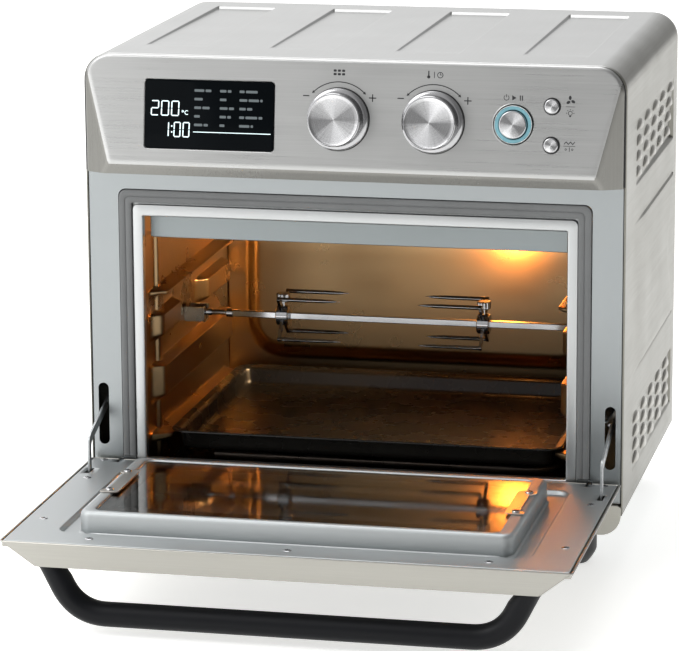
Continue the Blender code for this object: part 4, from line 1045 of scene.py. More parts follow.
def build_display():
    glass_front = 0.25 * MM
    bm = bmesh.new()
    loops = [display_outline(-0.5 * MM), display_outline(-0.1 * MM), display_outline(0), display_outline(0)]
    places = (glass_front, glass_front + 0.1 * MM, glass_front + 0.5 * MM, 2.2 * MM)
    loops = [[(x, y, z) for x, z in loop] for loop, y in zip(loops, places)]
    add_loft(bm, loops, capped=True)
    piece("display_pane", bm, DISPLAY_GLASS, "oven", "display_window", place=PANEL)
    front = glass_front - 0.06 * MM
    left = DISPLAY_X - DISPLAY_HALF
    bm = bmesh.new()
    tall, thick = 10.6 * MM, 0.85 * MM  # the digits' height and strokes
    for index, character in enumerate("200"):
        add_digit(bm, character, left + (4.9 + 7.8 * index) * MM, -0.9 * MM, 5.4 * MM, tall, thick, front)
    degree = (left + 29.2 * MM, 2.4 * MM)
    for_degree = [circle(degree, radius, 16) for radius in (0.85 * MM, 0.4 * MM)]
    add_plate(bm, for_degree, "Y", front, front + LIT_THICK)
    centre = (left + 32.3 * MM, 1.5 * MM)
    letter = arc(centre, 1.7 * MM, 50, 310, 14) + arc(centre, 1.2 * MM, 310, 50, 14)
    add_plate(bm, [letter], "Y", front, front + LIT_THICK)
    for index, character in enumerate("100"):
        shift = (17.6 if index == 0 else 22.6 + 6.9 * (index - 1)) * MM
        width = (4.6 if index else 0.6) * MM
        add_digit(bm, character, left + shift, -16.6 * MM, width, tall, thick, front)
    for dot in (-13.8 * MM, -9.4 * MM):
        bar(bm, left + 20.4 * MM, dot, 1.1 * MM, 1.1 * MM, front)
    bar(bm, left + 37.4 * MM, -13.0 * MM, 59.5 * MM, 0.55 * MM, front)
    piece("display_digits", bm, LIT_WHITE, "oven", place=PANEL)
    bm = bmesh.new()
    columns = ((38.0, (7.5, 5.5)), (57.6, (6.0, 5.0)), (72.6, (6.0, 9.0, 4.0)))
    for column, (start, words) in enumerate(columns):
        for row in range(5):
            x = left + start * MM
            z = (17.2 - 6.4 * row) * MM
            for index, length in enumerate(words):
                width = (length - 1.1 * ((row + index + column) % 3)) * MM
                if (row * 3 + column + index) % 5 == 4:
                    continue
                bar(bm, x, z, width, 1.9 * MM, front)
                x += width + 1.0 * MM
    piece("display_menu", bm, LIT_DIM, "oven", place=PANEL)


def ink(bm, *outlines):
    """One printed shape; the outlines after the first are its holes."""
    add_plate(bm, outlines, "Y", INK, INK + INK_THICK)


def arrow_arc(bm, centre, radius, start, end):
    """A printed arc with an arrowhead at both ends."""
    band = arc(centre, radius + 0.36 * MM, start, end, 30) + arc(centre, radius - 0.36 * MM, end, start, 30)
    ink(bm, band)
    for angle, turn in ((start, -1), (end, 1)):
        a = math.radians(angle)
        tip = Vector((centre[0] + radius * math.cos(a), centre[1] + radius * math.sin(a)))
        along = Vector((-math.sin(a), math.cos(a))) * turn
        across = Vector((math.cos(a), math.sin(a)))
        head = [tip + along * 2.2 * MM, tip + across * 1.15 * MM, tip - across * 1.15 * MM]
        ink(bm, [tuple(p) for p in head])


def ring_mark(bm, centre, outer, inner, steps=20):
    ink(bm, circle(centre, outer, steps), circle(centre, inner, steps))


def build_marks():
    """Printed signs: arcs with plus and minus, and small pictures of what each control does."""
    bm = bmesh.new()
    for x in KNOBS.values():
        arrow_arc(bm, (x, 0), 27.6 * MM, 47, 133)
        bar(bm, x - 27.2 * MM, 16.4 * MM, 4.8 * MM, 0.8 * MM)
        bar(bm, x + 22.6 * MM, 16.0 * MM, 5.6 * MM, 0.8 * MM)
        bar(bm, x + 25.0 * MM, 13.6 * MM, 0.8 * MM, 5.6 * MM)
    x, z = KNOBS["function"], 34.6 * MM
    for i in range(3):
        for j in range(2):
            bar(bm, x + (3.2 * i - 4.4) * MM, z + (2.6 * j - 2.2) * MM, 2.3 * MM, 1.7 * MM)
    x = KNOBS["temperature"]
    ring_mark(bm, (x + 4.4 * MM, z), 2.3 * MM, 1.75 * MM)
    bar(bm, x + 4.2 * MM, z, 0.45 * MM, 1.5 * MM)
    bar(bm, x + 4.2 * MM, z - 0.1 * MM, 1.5 * MM, 0.45 * MM)
    ink(bm, circle((x - 4.2 * MM, z - 1.5 * MM), 1.2 * MM, 16))
    bar(bm, x - 4.65 * MM, z - 1.2 * MM, 0.9 * MM, 4.2 * MM)
    bar(bm, x - 0.25 * MM, z - 2.3 * MM, 0.5 * MM, 4.8 * MM)
    x, z = POWER_X - 5.4 * MM, 19.6 * MM
    band = arc((x, z), 2.1 * MM, 125, 415, 18) + arc((x, z), 1.6 * MM, 415, 125, 18)
    ink(bm, band)
    bar(bm, x - 0.25 * MM, z + 0.3 * MM, 0.5 * MM, 2.2 * MM)
    x = POWER_X
    ink(bm, [(x - 1.2 * MM, z - 1.9 * MM), (x + 2.0 * MM, z), (x - 1.2 * MM, z + 1.9 * MM)])
    for step in (0, 1.6):
        bar(bm, POWER_X + (4.4 + step) * MM, z - 1.9 * MM, 0.8 * MM, 3.8 * MM)
    x, z = SMALL_X + 13.4 * MM, SMALL_SPREAD + 4.6 * MM
    for index in range(3):
        a = math.radians(90 + 120 * index)
        along, across = Vector((math.cos(a), math.sin(a))), Vector((-math.sin(a), math.cos(a)))
        centre = Vector((x, z)) + along * 2.0 * MM + across * 0.35 * MM
        ellipse = [centre + along * 1.6 * MM * math.cos(t) + across * 1.05 * MM * math.sin(t)
                   for t in np.linspace(0, 2 * math.pi, 15).tolist()[:-1]]
        ink(bm, [tuple(p) for p in ellipse])
    bar(bm, x - 3.4 * MM, z - 4.7 * MM, 6.8 * MM, 0.35 * MM)
    ring_mark(bm, (x, z - 9.2 * MM), 1.7 * MM, 1.25 * MM)
    bar(bm, x - 0.7 * MM, z - 11.9 * MM, 1.4 * MM, 0.9 * MM)
    for index in range(5):
        a = math.radians(45 * index)
        spot = (x + 2.7 * MM * math.cos(a), z - 9.2 * MM + 2.7 * MM * math.sin(a))
        ring_mark(bm, spot, 0.42 * MM, 0.15 * MM, 8)
    z = -SMALL_SPREAD
    wave = [(x + (1.6 * k - 4.0) * MM, z + (3.4 if k % 2 else 1.6) * MM) for k in range(6)]
    ink(bm, wave + [(a, b - 0.9 * MM) for a, b in wave[::-1]])
    bar(bm, x - 4.4 * MM, z - 0.4 * MM, 8.8 * MM, 0.35 * MM)
    ring_mark(bm, (x - 2.6 * MM, z - 2.6 * MM), 0.8 * MM, 0.4 * MM)
    bar(bm, x - 0.2 * MM, z - 4.2 * MM, 0.5 * MM, 3.2 * MM)
    ring_mark(bm, (x + 2.2 * MM, z - 2.6 * MM), 0.8 * MM, 0.4 * MM)
    piece("printed_signs", bm, PRINT, "oven", place=PANEL)


def build_knob(name, x):
    """Turned knob: dished brushed face with a painted highlight, polished chamfers, a side wall darkened as
    painted shade, a groove painted black as shadow, and a flange.
    """
    profile = [(0, -17.0), (5, -17.06), (10, -17.2), (16, -17.55), (18.3, -17.75)]
    side = [
        (18.3, -17.75), (18.7, -18.0), (19.2, -17.95), (19.7, -17.5), (19.8, -16.8), (19.9, -12), (20.1, -7.4)
    ]
    groove = [(20.1, -7.4), (19.0, -7.2), (19.0, -6.0)]
    flange = [
        (19.0, -6.0), (20.4, -5.9), (22.2, -5.4), (22.8, -4.9), (23.0, -4.2), (23.0, -2.0), (22.6, -1.5),
        (22, -1.2),
    ]
    base = [(22, -1.2), (21.6, -1.0), (3.4, -1.0), (3.4, -12.5), (0, -12.5)]
    parts = ((profile, 0), (side[:4], 1), (side[3:], 3), (groove, 2), (flange, 1), (base, 2))
    bm = bmesh.new()
    for part, look in parts:
        add_turned(bm, mm(part), "Y", (x, 0, 0), 96, look)
    weld(bm)
    looks = [KNOB_FACES[name], KNOB_RIM, PAINTED_SHADOW, KNOB_SIDE_PAINTED_SHADE]
    knob = piece(f"turned_{name}_knob", bm, looks, f"{name}_knob", f"{name}_knob", place=PANEL, sharp=30,
                 origin=PANEL @ Matrix.Translation((x, 0, 0)))
    bm = bmesh.new()
    for ring in (
        [(20.6, -1.0), (22.4, -1.0), (22.4, -0.15), (20.6, -0.15)],
        [(23.7, 0.02), (23.5, -0.5), (20.0, -0.5), (20.0, 0.02)],
    ):
        add_turned(bm, mm(ring), "Y", (x, 0, 0), 64, closed=True)
    piece(f"knob_shadow_ring_{name}", bm, BLACK_PLASTIC, "oven", place=PANEL)


BUTTON_REAR = 3.2  # behind the panel's face


def build_button(name, x, z, radius, front):
    """Domed spun-metal button with a painted highlight on its face, and a polished edge."""
    face = [(0, front - 0.25), (radius * 0.5, front - 0.2), (radius - 0.9, front)]
    edge = [(radius - short, front + drop) for short, drop in ((0.9, 0), (0.5, 0.05), (0.15, 0.3), (0, 0.7))]
    edge.append((radius, BUTTON_REAR))
    bm = bmesh.new()
    for part, look in ((face, 0), (edge, 1), ([(radius, BUTTON_REAR), (0, BUTTON_REAR)], 1)):
        add_turned(bm, mm(part), "Y", (x, 0, z), 48, look)
    weld(bm)
    piece(f"spun_{name}", bm, [BUTTON_FACE, KNOB_RIM], name, name, place=PANEL, sharp=30,
          origin=PANEL @ Matrix.Translation((x, 0, z)))
    if name != "power_button":
        # A black ring in the gap round each small button: painted shadow.
        gap = [(radius + 0.12, 1.0), (radius + 0.12, -0.05), (radius + 0.55, -0.05), (radius + 0.55, 1.0)]
        turned_piece(
            f"gap_shadow_ring_{name}", gap, "Y", (x, 0, z), 40, BLACK_PLASTIC, "oven", closed=True, place=PANEL
        )




def build_controls():
    build_fascia()
    build_display()
    build_marks()
    for name, x in KNOBS.items():
        build_knob(name, x)
    build_button("power_button", POWER_X, 0, 10.3, -3.5)
    for name, z in (("fan_button", SMALL_SPREAD), ("light_button", -SMALL_SPREAD)):
        build_button(name, SMALL_X, z, 5.4, -3.0)
    bm = bmesh.new()
    lit = [(11.0, 0.0), (11.0, -0.7), (11.3, -1.0), (13.2, -1.0), (13.4, -0.8), (13.4, 1.8), (11.0, 1.8)]
    add_turned(bm, mm(lit), "Y", (POWER_X, 0, 0), 72, 0, closed=True)
    collar = [(13.5, 1.8), (13.5, -0.7), (13.65, -1.0), (13.95, -1.0), (14.1, -0.7), (14.1, 1.8)]
    add_turned(bm, mm(collar), "Y", (POWER_X, 0, 0), 72, 1, closed=True)
    piece("power_ring", bm, [LIT_TEAL, COLLAR_PAINTED_HIGHLIGHT], "oven", "power_light_ring", place=PANEL, sharp=30)


build_controls()


# --- cavity ------------------------------------------------------------------------------------

WALL_X = 163.4 * MM
WALL_LOW, WALL_HIGH = 6.6 * MM, 226.0 * MM
CAVITY_FRONT, CAVITY_BACK = 6.5 * MM, 262.5 * MM
LAMP_Y, LAMP_Z = 190 * MM, 190 * MM
SPIT_Y, SPIT_Z = 128 * MM, 113 * MM
# Each pressed ledge, in millimetres: y from and to, z from and to, how far it stands in, and the rise of its
# sloping underside
LEDGES = (
    (17, 250, 30.0, 40.7, 14.2, 6.0),
    (17, 247, 61.0, 94.0, 10.0, 9.0),
    (17, 92, 110.0, 134.0, 9.0, 7.0),
    (152, 247, 110.0, 134.0, 9.0, 7.0),
    (17, 250, 145.5, 153.0, 12.4, 3.5),
)


def wall_height(y, z):
    """How far a side wall's pressed shapes stand into the cavity."""
    height = np.zeros(y.shape)
    for y0, y1, z0, z1, reach, under in ((*(v * MM for v in ledge),) for ledge in LEDGES):
        rise = ramp(z, z0, z0 + under) * (1 - ramp(z, z1 - 2.4 * MM, z1))
        ends = ramp(y, y0, y0 + 15 * MM) * (1 - ramp(y, y1 - 13 * MM, y1))
        height = np.maximum(height, reach * rise * ends)
    rib = 3 * MM * ramp(y, 34 * MM, 38 * MM) * (1 - ramp(y, 44 * MM, 48 * MM))
    return np.maximum(height, rib * ramp(z, 12 * MM, 24 * MM) * (1 - ramp(z, 196 * MM, 208 * MM)))


def build_cavity_walls():
    y_lines = lines(CAVITY_FRONT, CAVITY_BACK, 4 * MM, *((a, b, 1 * MM) for a, b in (
        (16 * MM, 50 * MM), (76 * MM, 93 * MM), (151 * MM, 168 * MM), (232 * MM, 251 * MM))))
    fine = [(z0 * MM, (z0 + under) * MM, 0.9 * MM) for _, _, z0, _, _, under in LEDGES]
    fine += [((z1 - 2.8) * MM, (z1 + 0.2) * MM, 0.4 * MM) for _, _, _, z1, _, _ in LEDGES]
    z_lines = lines(WALL_LOW, WALL_HIGH, 4 * MM, *fine)
    y, z = np.meshgrid(y_lines, z_lines, indexing="ij")
    for suffix, sign in sides():
        keep = None
        if sign > 0:
            keep = (np.hypot(y - LAMP_Y, z - LAMP_Z) > 15 * MM) & (np.hypot(y - SPIT_Y, z - SPIT_Z) > 3 * MM)
        bm = grid_mesh(sign * (WALL_X - wall_height(y, z)), y, z, keep)
        wall = piece(f"pressed_wall_{suffix}", bm, LAMPLIT_CAVITY_STEEL, "oven", f"cavity_{suffix}_wall", sharp=50)
        solidify(wall, SHEET, (-sign, 0, 0))


def build_cavity_back():
    """Back wall with its broad domed field."""
    half = WALL_X + SHEET
    x_lines = lines(-half, half, 8 * MM, (-half, -118 * MM, 1.6 * MM), (118 * MM, half, 1.6 * MM))
    z_lines = lines(6.6 * MM, 226 * MM, 6 * MM, (40 * MM, 74 * MM, 1.6 * MM), (190 * MM, 226 * MM, 1.6 * MM))
    x, z = np.meshgrid(x_lines, z_lines, indexing="ij")
    distance = box_distance(x, z, (-149 * MM, 46 * MM), (149 * MM, 222 * MM), 34 * MM)
    field = 11.5 * MM * (1 - ramp(distance, -15 * MM, 0))
    bm = grid_mesh(x, CAVITY_BACK + 0.3 * MM - field, z)
    wall = piece("domed_back_wall", bm, LAMPLIT_CAVITY_STEEL, "oven", "cavity_back", sharp=50)
    solidify(wall, SHEET, (0, -1, 0))


def build_shield_and_heaters():
    low, high = local_box("heater_shield")
    section = [
        (16.0, 195.9), (16.3, 195.5), (30.0, 195.5), (30.0, 196.3), (16.8, 196.3), (16.8, 225.5),
        (16.0, 225.5),
    ]
    plate_piece(
        "element_shield", [mm(section)], "X", low.x, high.x, SHIELD_STEEL, "oven", "heater_shield",
        edge=0.25 * MM,
    )
    build_element("upper", (46, 90, 134, 178, 222), 125, 212.0, 3.0)
    build_element("lower", (55, 103, 151, 199), 122, 17.0, 2.8)


def build_element(name, places, reach, z, radius):
    """A heating tube that runs to and fro across the cavity at these places, in millimetres."""
    path, side = [], -1
    for index, y in enumerate(places):
        path += [(side * reach * MM * f, y * MM, z * MM) for f in (1, 0.5, 0)]
        side = -side
        path += [(side * reach * MM * f, y * MM, z * MM) for f in (0.5, 1)]
        if index + 1 < len(places):
            bend = (places[index + 1] - y) / 2
            for step in range(1, 12):
                a = math.pi * step / 12
                out, back = reach + bend * math.sin(a), y + bend * (1 - math.cos(a))
                path.append((side * out * MM, back * MM, z * MM))
    bm = bmesh.new()
    add_tube(bm, path, radius * MM, 16)
    piece(f"sheathed_element_{name}", bm, HEATER_TUBE, "oven", f"{name}_heater")


def build_lamp():
    """Domed lens with a rim, and the bulb behind it."""
    bm = bmesh.new()
    loops = []
    steps = (0, 163.1), (0, 160.6), (-0.8, 159.9), (-3.0, 159.6), (-4.5, 160.4), (-8, 159.2), (-14, 158.6)
    for grow, x in steps:
        low = (LAMP_Y - (23 + grow) * MM, LAMP_Z - (21 + grow) * MM)
        high = (LAMP_Y + (23 + grow) * MM, LAMP_Z + (21 + grow) * MM)
        loops.append([(x * MM, y, z) for y, z in rounded(low, high, max(2.0, 8 + grow) * MM, 6)])
    add_loft(bm, loops, capped=True)
    piece("lamp_cover", bm, LAMP_LENS, "oven", "lamp_lens")
    profile = [
        (0, -22), (6, -22), (8.5, -21), (8.5, -6), (6.6, -5), (6, -3.6), (6.4, 2), (6.2, 12), (5, 17),
        (2.8, 20), (0, 21),
    ]
    turned_piece("capsule_bulb", profile, "Y", (178 * MM, LAMP_Y, LAMP_Z), 24, LAMP_GLOW, "oven", "lamp_bulb")


TRAY_SHEET = 0.7 * MM


def build_floor_tray():
    """Sheet tray with turned-up edges lying on the cavity floor."""
    low, high = local_box("crumb_tray")
    x_lines, y_lines = (
        lines(start, end, 12 * MM, (start, start + 9 * MM, 1 * MM), (end - 9 * MM, end, 1 * MM))
        for start, end in ((low.x, high.x), (low.y, high.y))
    )
    x, y = np.meshgrid(x_lines, y_lines, indexing="ij")
    inside = -box_distance(x, y, (low.x, low.y), (high.x, high.y))
    bm = grid_mesh(x, y, low.z + 0.8 * MM + 2.0 * MM * (1 - ramp(inside, 1 * MM, 6 * MM)))
    tray = piece("crumb_tray_sheet", bm, ENAMEL, "oven", "crumb_tray", sharp=50)
    solidify(tray, TRAY_SHEET, (0, 0, 1))



build_cavity_walls()
build_cavity_back()
build_shield_and_heaters()
build_lamp()
build_floor_tray()


# --- door --------------------------------------------------------------------------------------

door_low, door_high = local_box("door_outer_shell")
DOOR_LOW, DOOR_TOP = door_low.z, door_high.z
DOOR_FRONT, DOOR_REAR = door_low.y, door_high.y
RAISED = ((-157 * MM, -199 * MM), (157 * MM, -44.5 * MM))
VIEW = ((-146.5 * MM, -192 * MM), (146.5 * MM, -52 * MM))
ARM_X, BRACKET_X = 195.5 * MM, 181 * MM
ARM_PIN = (-40 * MM, 22.5 * MM)
PIN = (-8.1 * MM, 19.1 * MM)  # the line the door turns on
SPRING_Z = 66.5 * MM
HANDLE_RADIUS, HANDLE_Y, HANDLE_DROP = 9 * MM, -218 * MM, -30 * MM


def soften(points, radius, steps=4):
    """A polygon with its corners rounded by short curves."""
    out = []
    for i, point in enumerate(points):
        before, here, after = Vector(points[i - 1]), Vector(point), Vector(points[(i + 1) % len(points)])
        one, two = before - here, after - here
        reach = min(radius, one.length * 0.45, two.length * 0.45)
        start, end = here + one.normalized() * reach, here + two.normalized() * reach
        for s in range(steps + 1):
            t = s / steps
            out.append(tuple((1 - t) ** 2 * start + 2 * t * (1 - t) * here + t * t * end))
    return out


def grown(rectangle, grow, radius, steps=8):
    (x0, y0), (x1, y1) = rectangle
    return rounded((x0 - grow, y0 - grow), (x1 + grow, y1 + grow), max(0.3 * MM, radius + grow), steps)


def stacked(rectangle, profile, radius, steps=8):
    """Loops round a rectangle; profile has how far each is outside it, and its height, in millimetres."""
    return [[(x, y, z * MM) for x, y in grown(rectangle, g * MM, radius, steps)] for g, z in profile]


def build_door_shell():
    """Bevelled outer skin: turned rim, sloping sides and the face round the window."""
    def loop(side, rear, front, z, radius):
        low = (-HALF + side * MM, DOOR_FRONT + front * MM)
        high = (HALF - side * MM, DOOR_REAR - rear * MM)
        return [(x, y, z * MM) for x, y in rounded(low, high, radius * MM, 6)]

    top = DOOR_TOP / MM
    low = DOOR_LOW / MM
    rim = ((1.7, 4.5), (1.7, 0.5), (1.5, 0.15), (1.2, 0), (0.6, 0), (0.25, 0.12), (0, 0.5))
    loops = [loop(inset, inset, inset, top - drop, 2.2) for inset, drop in rim]
    for share in (0.09, 0.5, 0.94, 0.985):
        loops.append(loop(23.5 * share, 4.0 * share, 6.5 * share, top - (top - low) * share, 2.2))
    loops.append(loop(23.5, 4.0, 6.5, low, 2.2))
    loops.append(loop(24.3, 4.8, 7.3, low, 2.0))
    bm = bmesh.new()
    add_loft(bm, loops)
    window = rounded((-140 * MM, -185 * MM), (140 * MM, -55 * MM), 5 * MM, 6)
    last = [(x, y) for x, y, _ in loops[-1]]
    add_plate(bm, [last, window], "Z", DOOR_LOW, DOOR_LOW + SHEET)
    weld(bm)
    for _, sign in sides():
        for near in (176.8 * MM, 183.7 * MM):
            x0, x1 = span(sign, near, near + 1.6 * MM)
            ear = soften(mm([(-3.6, 24), (-18, 24), (-18, 12), (-5.2, 12)]), 2 * MM)
            add_plate(bm, [ear, circle(PIN, 2.6 * MM, 20)], "X", x0, x1)
    shell = piece("door_skin", bm, DOOR_SKIN, "door", "door_outer_shell", sharp=28)
    notches = []
    for _, sign in sides():
        x0, x1 = span(sign, BRACKET_X - 2.2 * MM, BRACKET_X + 2.2 * MM)
        cutter = bmesh.new()
        add_box(cutter, (x0, -14.5 * MM, 12.5 * MM), (x1, 3 * MM, DOOR_TOP + 3 * MM))
        notches.append(mesh_object("notch", cutter, CASING))
    carved(shell, *notches)


def quarter_round(distance, radius):
    """0 from radius on, rising to radius in a quarter circle where distance is 0."""
    short = np.clip(radius - distance, 0, radius)
    return radius - np.sqrt(np.maximum(radius**2 - short**2, 0))


def build_door_panel():
    """Pressed inner panel with a channel at each side, its slots, and the raised frame round the glass."""
    half, rear, front = HALF - 2.6 * MM, DOOR_REAR - 2.6 * MM, DOOR_FRONT + 2.6 * MM
    fine_x = [(155 * MM, 172.5 * MM, 0.55 * MM), (ARM_X - 2.3 * MM, ARM_X + 2.3 * MM, 2.3 * MM)]
    fine_x += [(BRACKET_X - 2.2 * MM, BRACKET_X + 2.2 * MM, 2.2 * MM), (half - 1.2 * MM, half, 0.3 * MM)]
    x_lines = mirrored(lines(0, half, 7 * MM, *fine_x))
    y_lines = lines(
        front, rear, 7 * MM, (-208 * MM, -188 * MM, 0.6 * MM), (-50 * MM, -12 * MM, 0.8 * MM),
        (front, front + 1.2 * MM, 0.3 * MM), (rear - 1.2 * MM, rear, 0.3 * MM),
    )
    x, y = np.meshgrid(x_lines, y_lines, indexing="ij")
    channel = box_distance(x, y, (-171 * MM, -206 * MM), (171 * MM, -29 * MM), 11 * MM)
    z = DOOR_TOP - 3.0 * MM * (1 - ramp(channel, -2.2 * MM, 0.6 * MM))
    near_frame = box_distance(x, y, *RAISED, 8 * MM)
    edge = -box_distance(x, y, (-half, front), (half, rear))
    z = z + quarter_round(near_frame, 1.8 * MM)
    z = z - quarter_round(edge, 0.9 * MM)
    keep = near_frame > -1.6 * MM
    arm_slot = (np.abs(np.abs(x) - ARM_X) < 2.0 * MM) & (y > -49.5 * MM) & (y < -34.5 * MM)
    bracket_slot = (np.abs(np.abs(x) - BRACKET_X) < 2.0 * MM) & (y > -14 * MM)
    keep &= ~arm_slot & ~bracket_slot
    bm = grid_mesh(x, y, z, keep)
    sheet = piece("door_inner_sheet", bm, DOOR_STEEL, "door", "door_inner_panel", sharp=45)
    solidify(sheet, 0.6 * MM, (0, 0, 1))
    wall = [(0, 21), (0, 27), (0, 35.2), (-0.3, 36.8), (-1.0, 38.0), (-2.0, 38.7), (-3.4, 39.0)]
    seat = [(1.6, 39.0), (0.9, 38.85), (0.3, 38.5), (0, 38.0), (-0.3, 37.95)]
    bm = bmesh.new()
    add_loft(bm, stacked(RAISED, wall, 8 * MM) + stacked(VIEW, seat, 6 * MM))
    frame_ring = piece("raised_glass_frame", bm, DOOR_STEEL, "door", sharp=45)
    solidify(frame_ring, 0.5 * MM)
    bm = bmesh.new()
    spots = [(x * s, y) for s in (-1, 1) for x, y in ((193, -9.4), (191, -62), (190.3, -175))]
    spots += [(-143, -219), (1, -219.7), (144, -219)]
    for x, y in spots:
        add_screw(bm, (x * MM, y * MM, DOOR_TOP - 0.1 * MM), "Z", 3.1 * MM, height=0.6 * MM)
    piece("door_panel_screws", bm, [CHROME, PAINTED_SHADOW], "door", sharp=35)


def build_glass():
    """The two panes, each with its printed black border."""
    panes = (
        ("inner_pane", "door_inner_glass", CLEAR_GLASS, 20 * MM),
        ("outer_pane", "door_outer_glass", SMOKED_GLASS, 19 * MM),
    )
    edge = 0.5 * MM
    for name, node, glass_look, border in panes:
        low, high = local_box(node)
        rectangle = ((low.x, low.y), (high.x, high.y))
        bm = bmesh.new()
        sides_of_pane = [(-edge, low.z), (0, low.z + edge), (0, high.z - edge), (-edge, high.z)]
        loops = [[(x, y, z) for x, y in grown(rectangle, g, 3 * MM)] for g, z in sides_of_pane]
        add_loft(bm, loops, capped=True)
        piece(f"{name}_of_glass", bm, glass_look, "door", node, sharp=30)
        outlines = [grown(rectangle, -edge, 3 * MM), grown(rectangle, -border, 9 * MM)]
        z0, z1 = low.z - 0.12 * MM, low.z - 0.02 * MM
        plate_piece(f"{name}_border", outlines, "Z", z0, z1, BLACK_PLASTIC, "door")
    for suffix, sign in sides():
        outline = [
            (142, -148), (156, -148), (156, -143), (151.5, -140), (151.5, -97), (156, -94), (156, -87),
            (144, -87), (142, -90),
        ]
        outline = soften([(sign * x * MM, y * MM) for x, y in outline], 1.8 * MM)
        node = f"glass_clip_{suffix}"
        low, high = local_box(node)
        plate_piece(
            f"pane_clip_{suffix}", [outline], "Z", low.z, high.z, CLIP_STEEL, "door", node, edge=0.3 * MM
        )
        bm = bmesh.new()
        for x, y in ((150.5, -92), (149.5, -143)):
            add_screw(bm, (sign * x * MM, y * MM, high.z - 0.1 * MM), "Z", 3.0 * MM, height=1.3 * MM)
        piece(f"clip_screws_{suffix}", bm, [CHROME, PAINTED_SHADOW], "door", sharp=35)


def build_handle():
    """One bent bar with sloping legs."""
    top, foot = Vector((171.5 * MM, DOOR_LOW)), Vector((153.5 * MM, HANDLE_DROP))
    run = (top - foot).normalized() * 22 * MM
    end = foot - Vector((22 * MM, 0))
    right = [top + (top - foot).normalized() * 6 * MM, top, foot + run * 1.2]
    shares = np.linspace(0, 1, 15).tolist()
    right += [(1 - t) ** 2 * (foot + run) + 2 * t * (1 - t) * foot + t * t * end for t in shares]
    right += [end * f + Vector((0, HANDLE_DROP)) * (1 - f) for f in (0.6, 0.25)]
    points = [(-p.x, HANDLE_Y, p.y) for p in right] + [(p.x, HANDLE_Y, p.y) for p in right[::-1]]
    bm = bmesh.new()
    add_tube(bm, points, HANDLE_RADIUS, 40)
    limit = DOOR_LOW - 0.3 * MM
    for vert in bm.verts:
        vert.co.z = min(vert.co.z, limit)
    piece("bar_handle", bm, SATIN_BLACK, "door", "door_handle", sharp=50)


def build_hinges():
    for suffix, sign in sides():
        outline = arc(ARM_PIN, 3 * MM, 180, 360, 10) + mm([
            (-37.6, 43.0), (-35.6, 46.6), (13.0, 63.0), (17.5, 65), (18, 69), (13, 71.0), (-38.6, 52.6),
            (-42.4, 49),
        ])
        outline = soften(outline, 3.5 * MM, 5)
        x0, x1 = span(sign, ARM_X - 0.8 * MM, ARM_X + 0.8 * MM)
        outlines = [outline, circle(ARM_PIN, 1.5 * MM, 16)]
        plate_piece(
            f"bent_arm_{suffix}", outlines, "X", x0, x1, ARM_STEEL, f"arm_{suffix}", f"hinge_arm_{suffix}",
            edge=0.3 * MM,
        )
        rivet = [(0, -3.6), (1.7, -3.6), (2.0, -3.2), (2.0, -0.8), (2.8, -0.8), (2.8, 0.4), (0, 0.4)]
        rivet = [(radius, sign * x) for radius, x in rivet]
        centre = (sign * ARM_X, 12.5 * MM, SPRING_Z)
        turned_piece(f"arm_rivet_{suffix}", rivet, "X", centre, 20, CHROME, f"arm_{suffix}")
        build_spring(suffix, sign * 187.2 * MM)
        low, high = local_box(f"hinge_pin_{suffix}")
        end, radius, full = 0.5 * MM, 1.9 * MM, 2.3 * MM
        pin = [(0, low.x), (radius, low.x), (full, low.x + end)]
        pin += [(full, high.x - end), (radius, high.x), (0, high.x)]
        bm = bmesh.new()
        add_turned(bm, pin, "X", (0, *PIN), 28)
        piece(f"steel_pin_{suffix}", bm, CHROME, "door", f"hinge_pin_{suffix}")


def build_spring(suffix, x):
    """A coil that runs back from the hinge arm, with a hook at each end."""
    turns, steps, radius = 16, 12, 2.9 * MM
    start, end, hook_z = 26 * MM, 98 * MM, 64.8 * MM
    path = [(x, 20.6 * MM, hook_z), (x, 23.5 * MM, SPRING_Z)]
    for step in range(turns * steps + 1):
        a = 2 * math.pi * step / steps
        y = start + (end - start) * (step / (turns * steps))
        path.append((x + radius * math.cos(a), y, SPRING_Z + radius * math.sin(a)))
    path += [(x, 100.5 * MM, SPRING_Z), (x, 103.4 * MM, hook_z)]
    bm = bmesh.new()
    add_tube(bm, path, 0.6 * MM, 7)
    piece(f"coil_spring_{suffix}", bm, ARM_STEEL, "oven", f"hinge_spring_{suffix}")


build_door_shell()
build_door_panel()
build_glass()
build_handle()
build_hinges()


# --- spit, forks and pan --------------------------------------------------------------------------

SPIT = (0, SPIT_Y, SPIT_Z)


def build_spit():
    """Square bar with chamfered edges, a turned journal and a pointed end."""
    half, chamfer = 2.5 * MM, 0.5 * MM
    flat = half - chamfer
    section = [(-flat, -half), (flat, -half), (half, -flat), (half, flat)]
    section += [(flat, half), (-flat, half), (-half, flat), (-half, -flat)]
    bm = bmesh.new()
    loops = []
    for x, size in ((-130, 0.7), (-128.6, 1), (-60, 1), (0, 1), (60, 1), (146.6, 1), (148, 0.72)):
        loops.append([(x * MM, SPIT_Y + a * size, SPIT_Z + b * size) for a, b in section])
    add_loft(bm, loops, capped=True)
    journal = [
        (0, -156), (1.4, -155.9), (1.9, -155.4), (2.8, -153.2), (2.8, -143.2), (2.5, -142.6), (2.0, -142),
        (2.0, -131.2), (2.6, -130.6), (3.4, -130), (3.4, -125.4), (3.0, -125), (0, -125),
    ]
    add_turned(bm, mm(journal), "X", SPIT, 28)
    piece("square_spit", bm, CHROME, "spit", "rotisserie_spit", sharp=30)


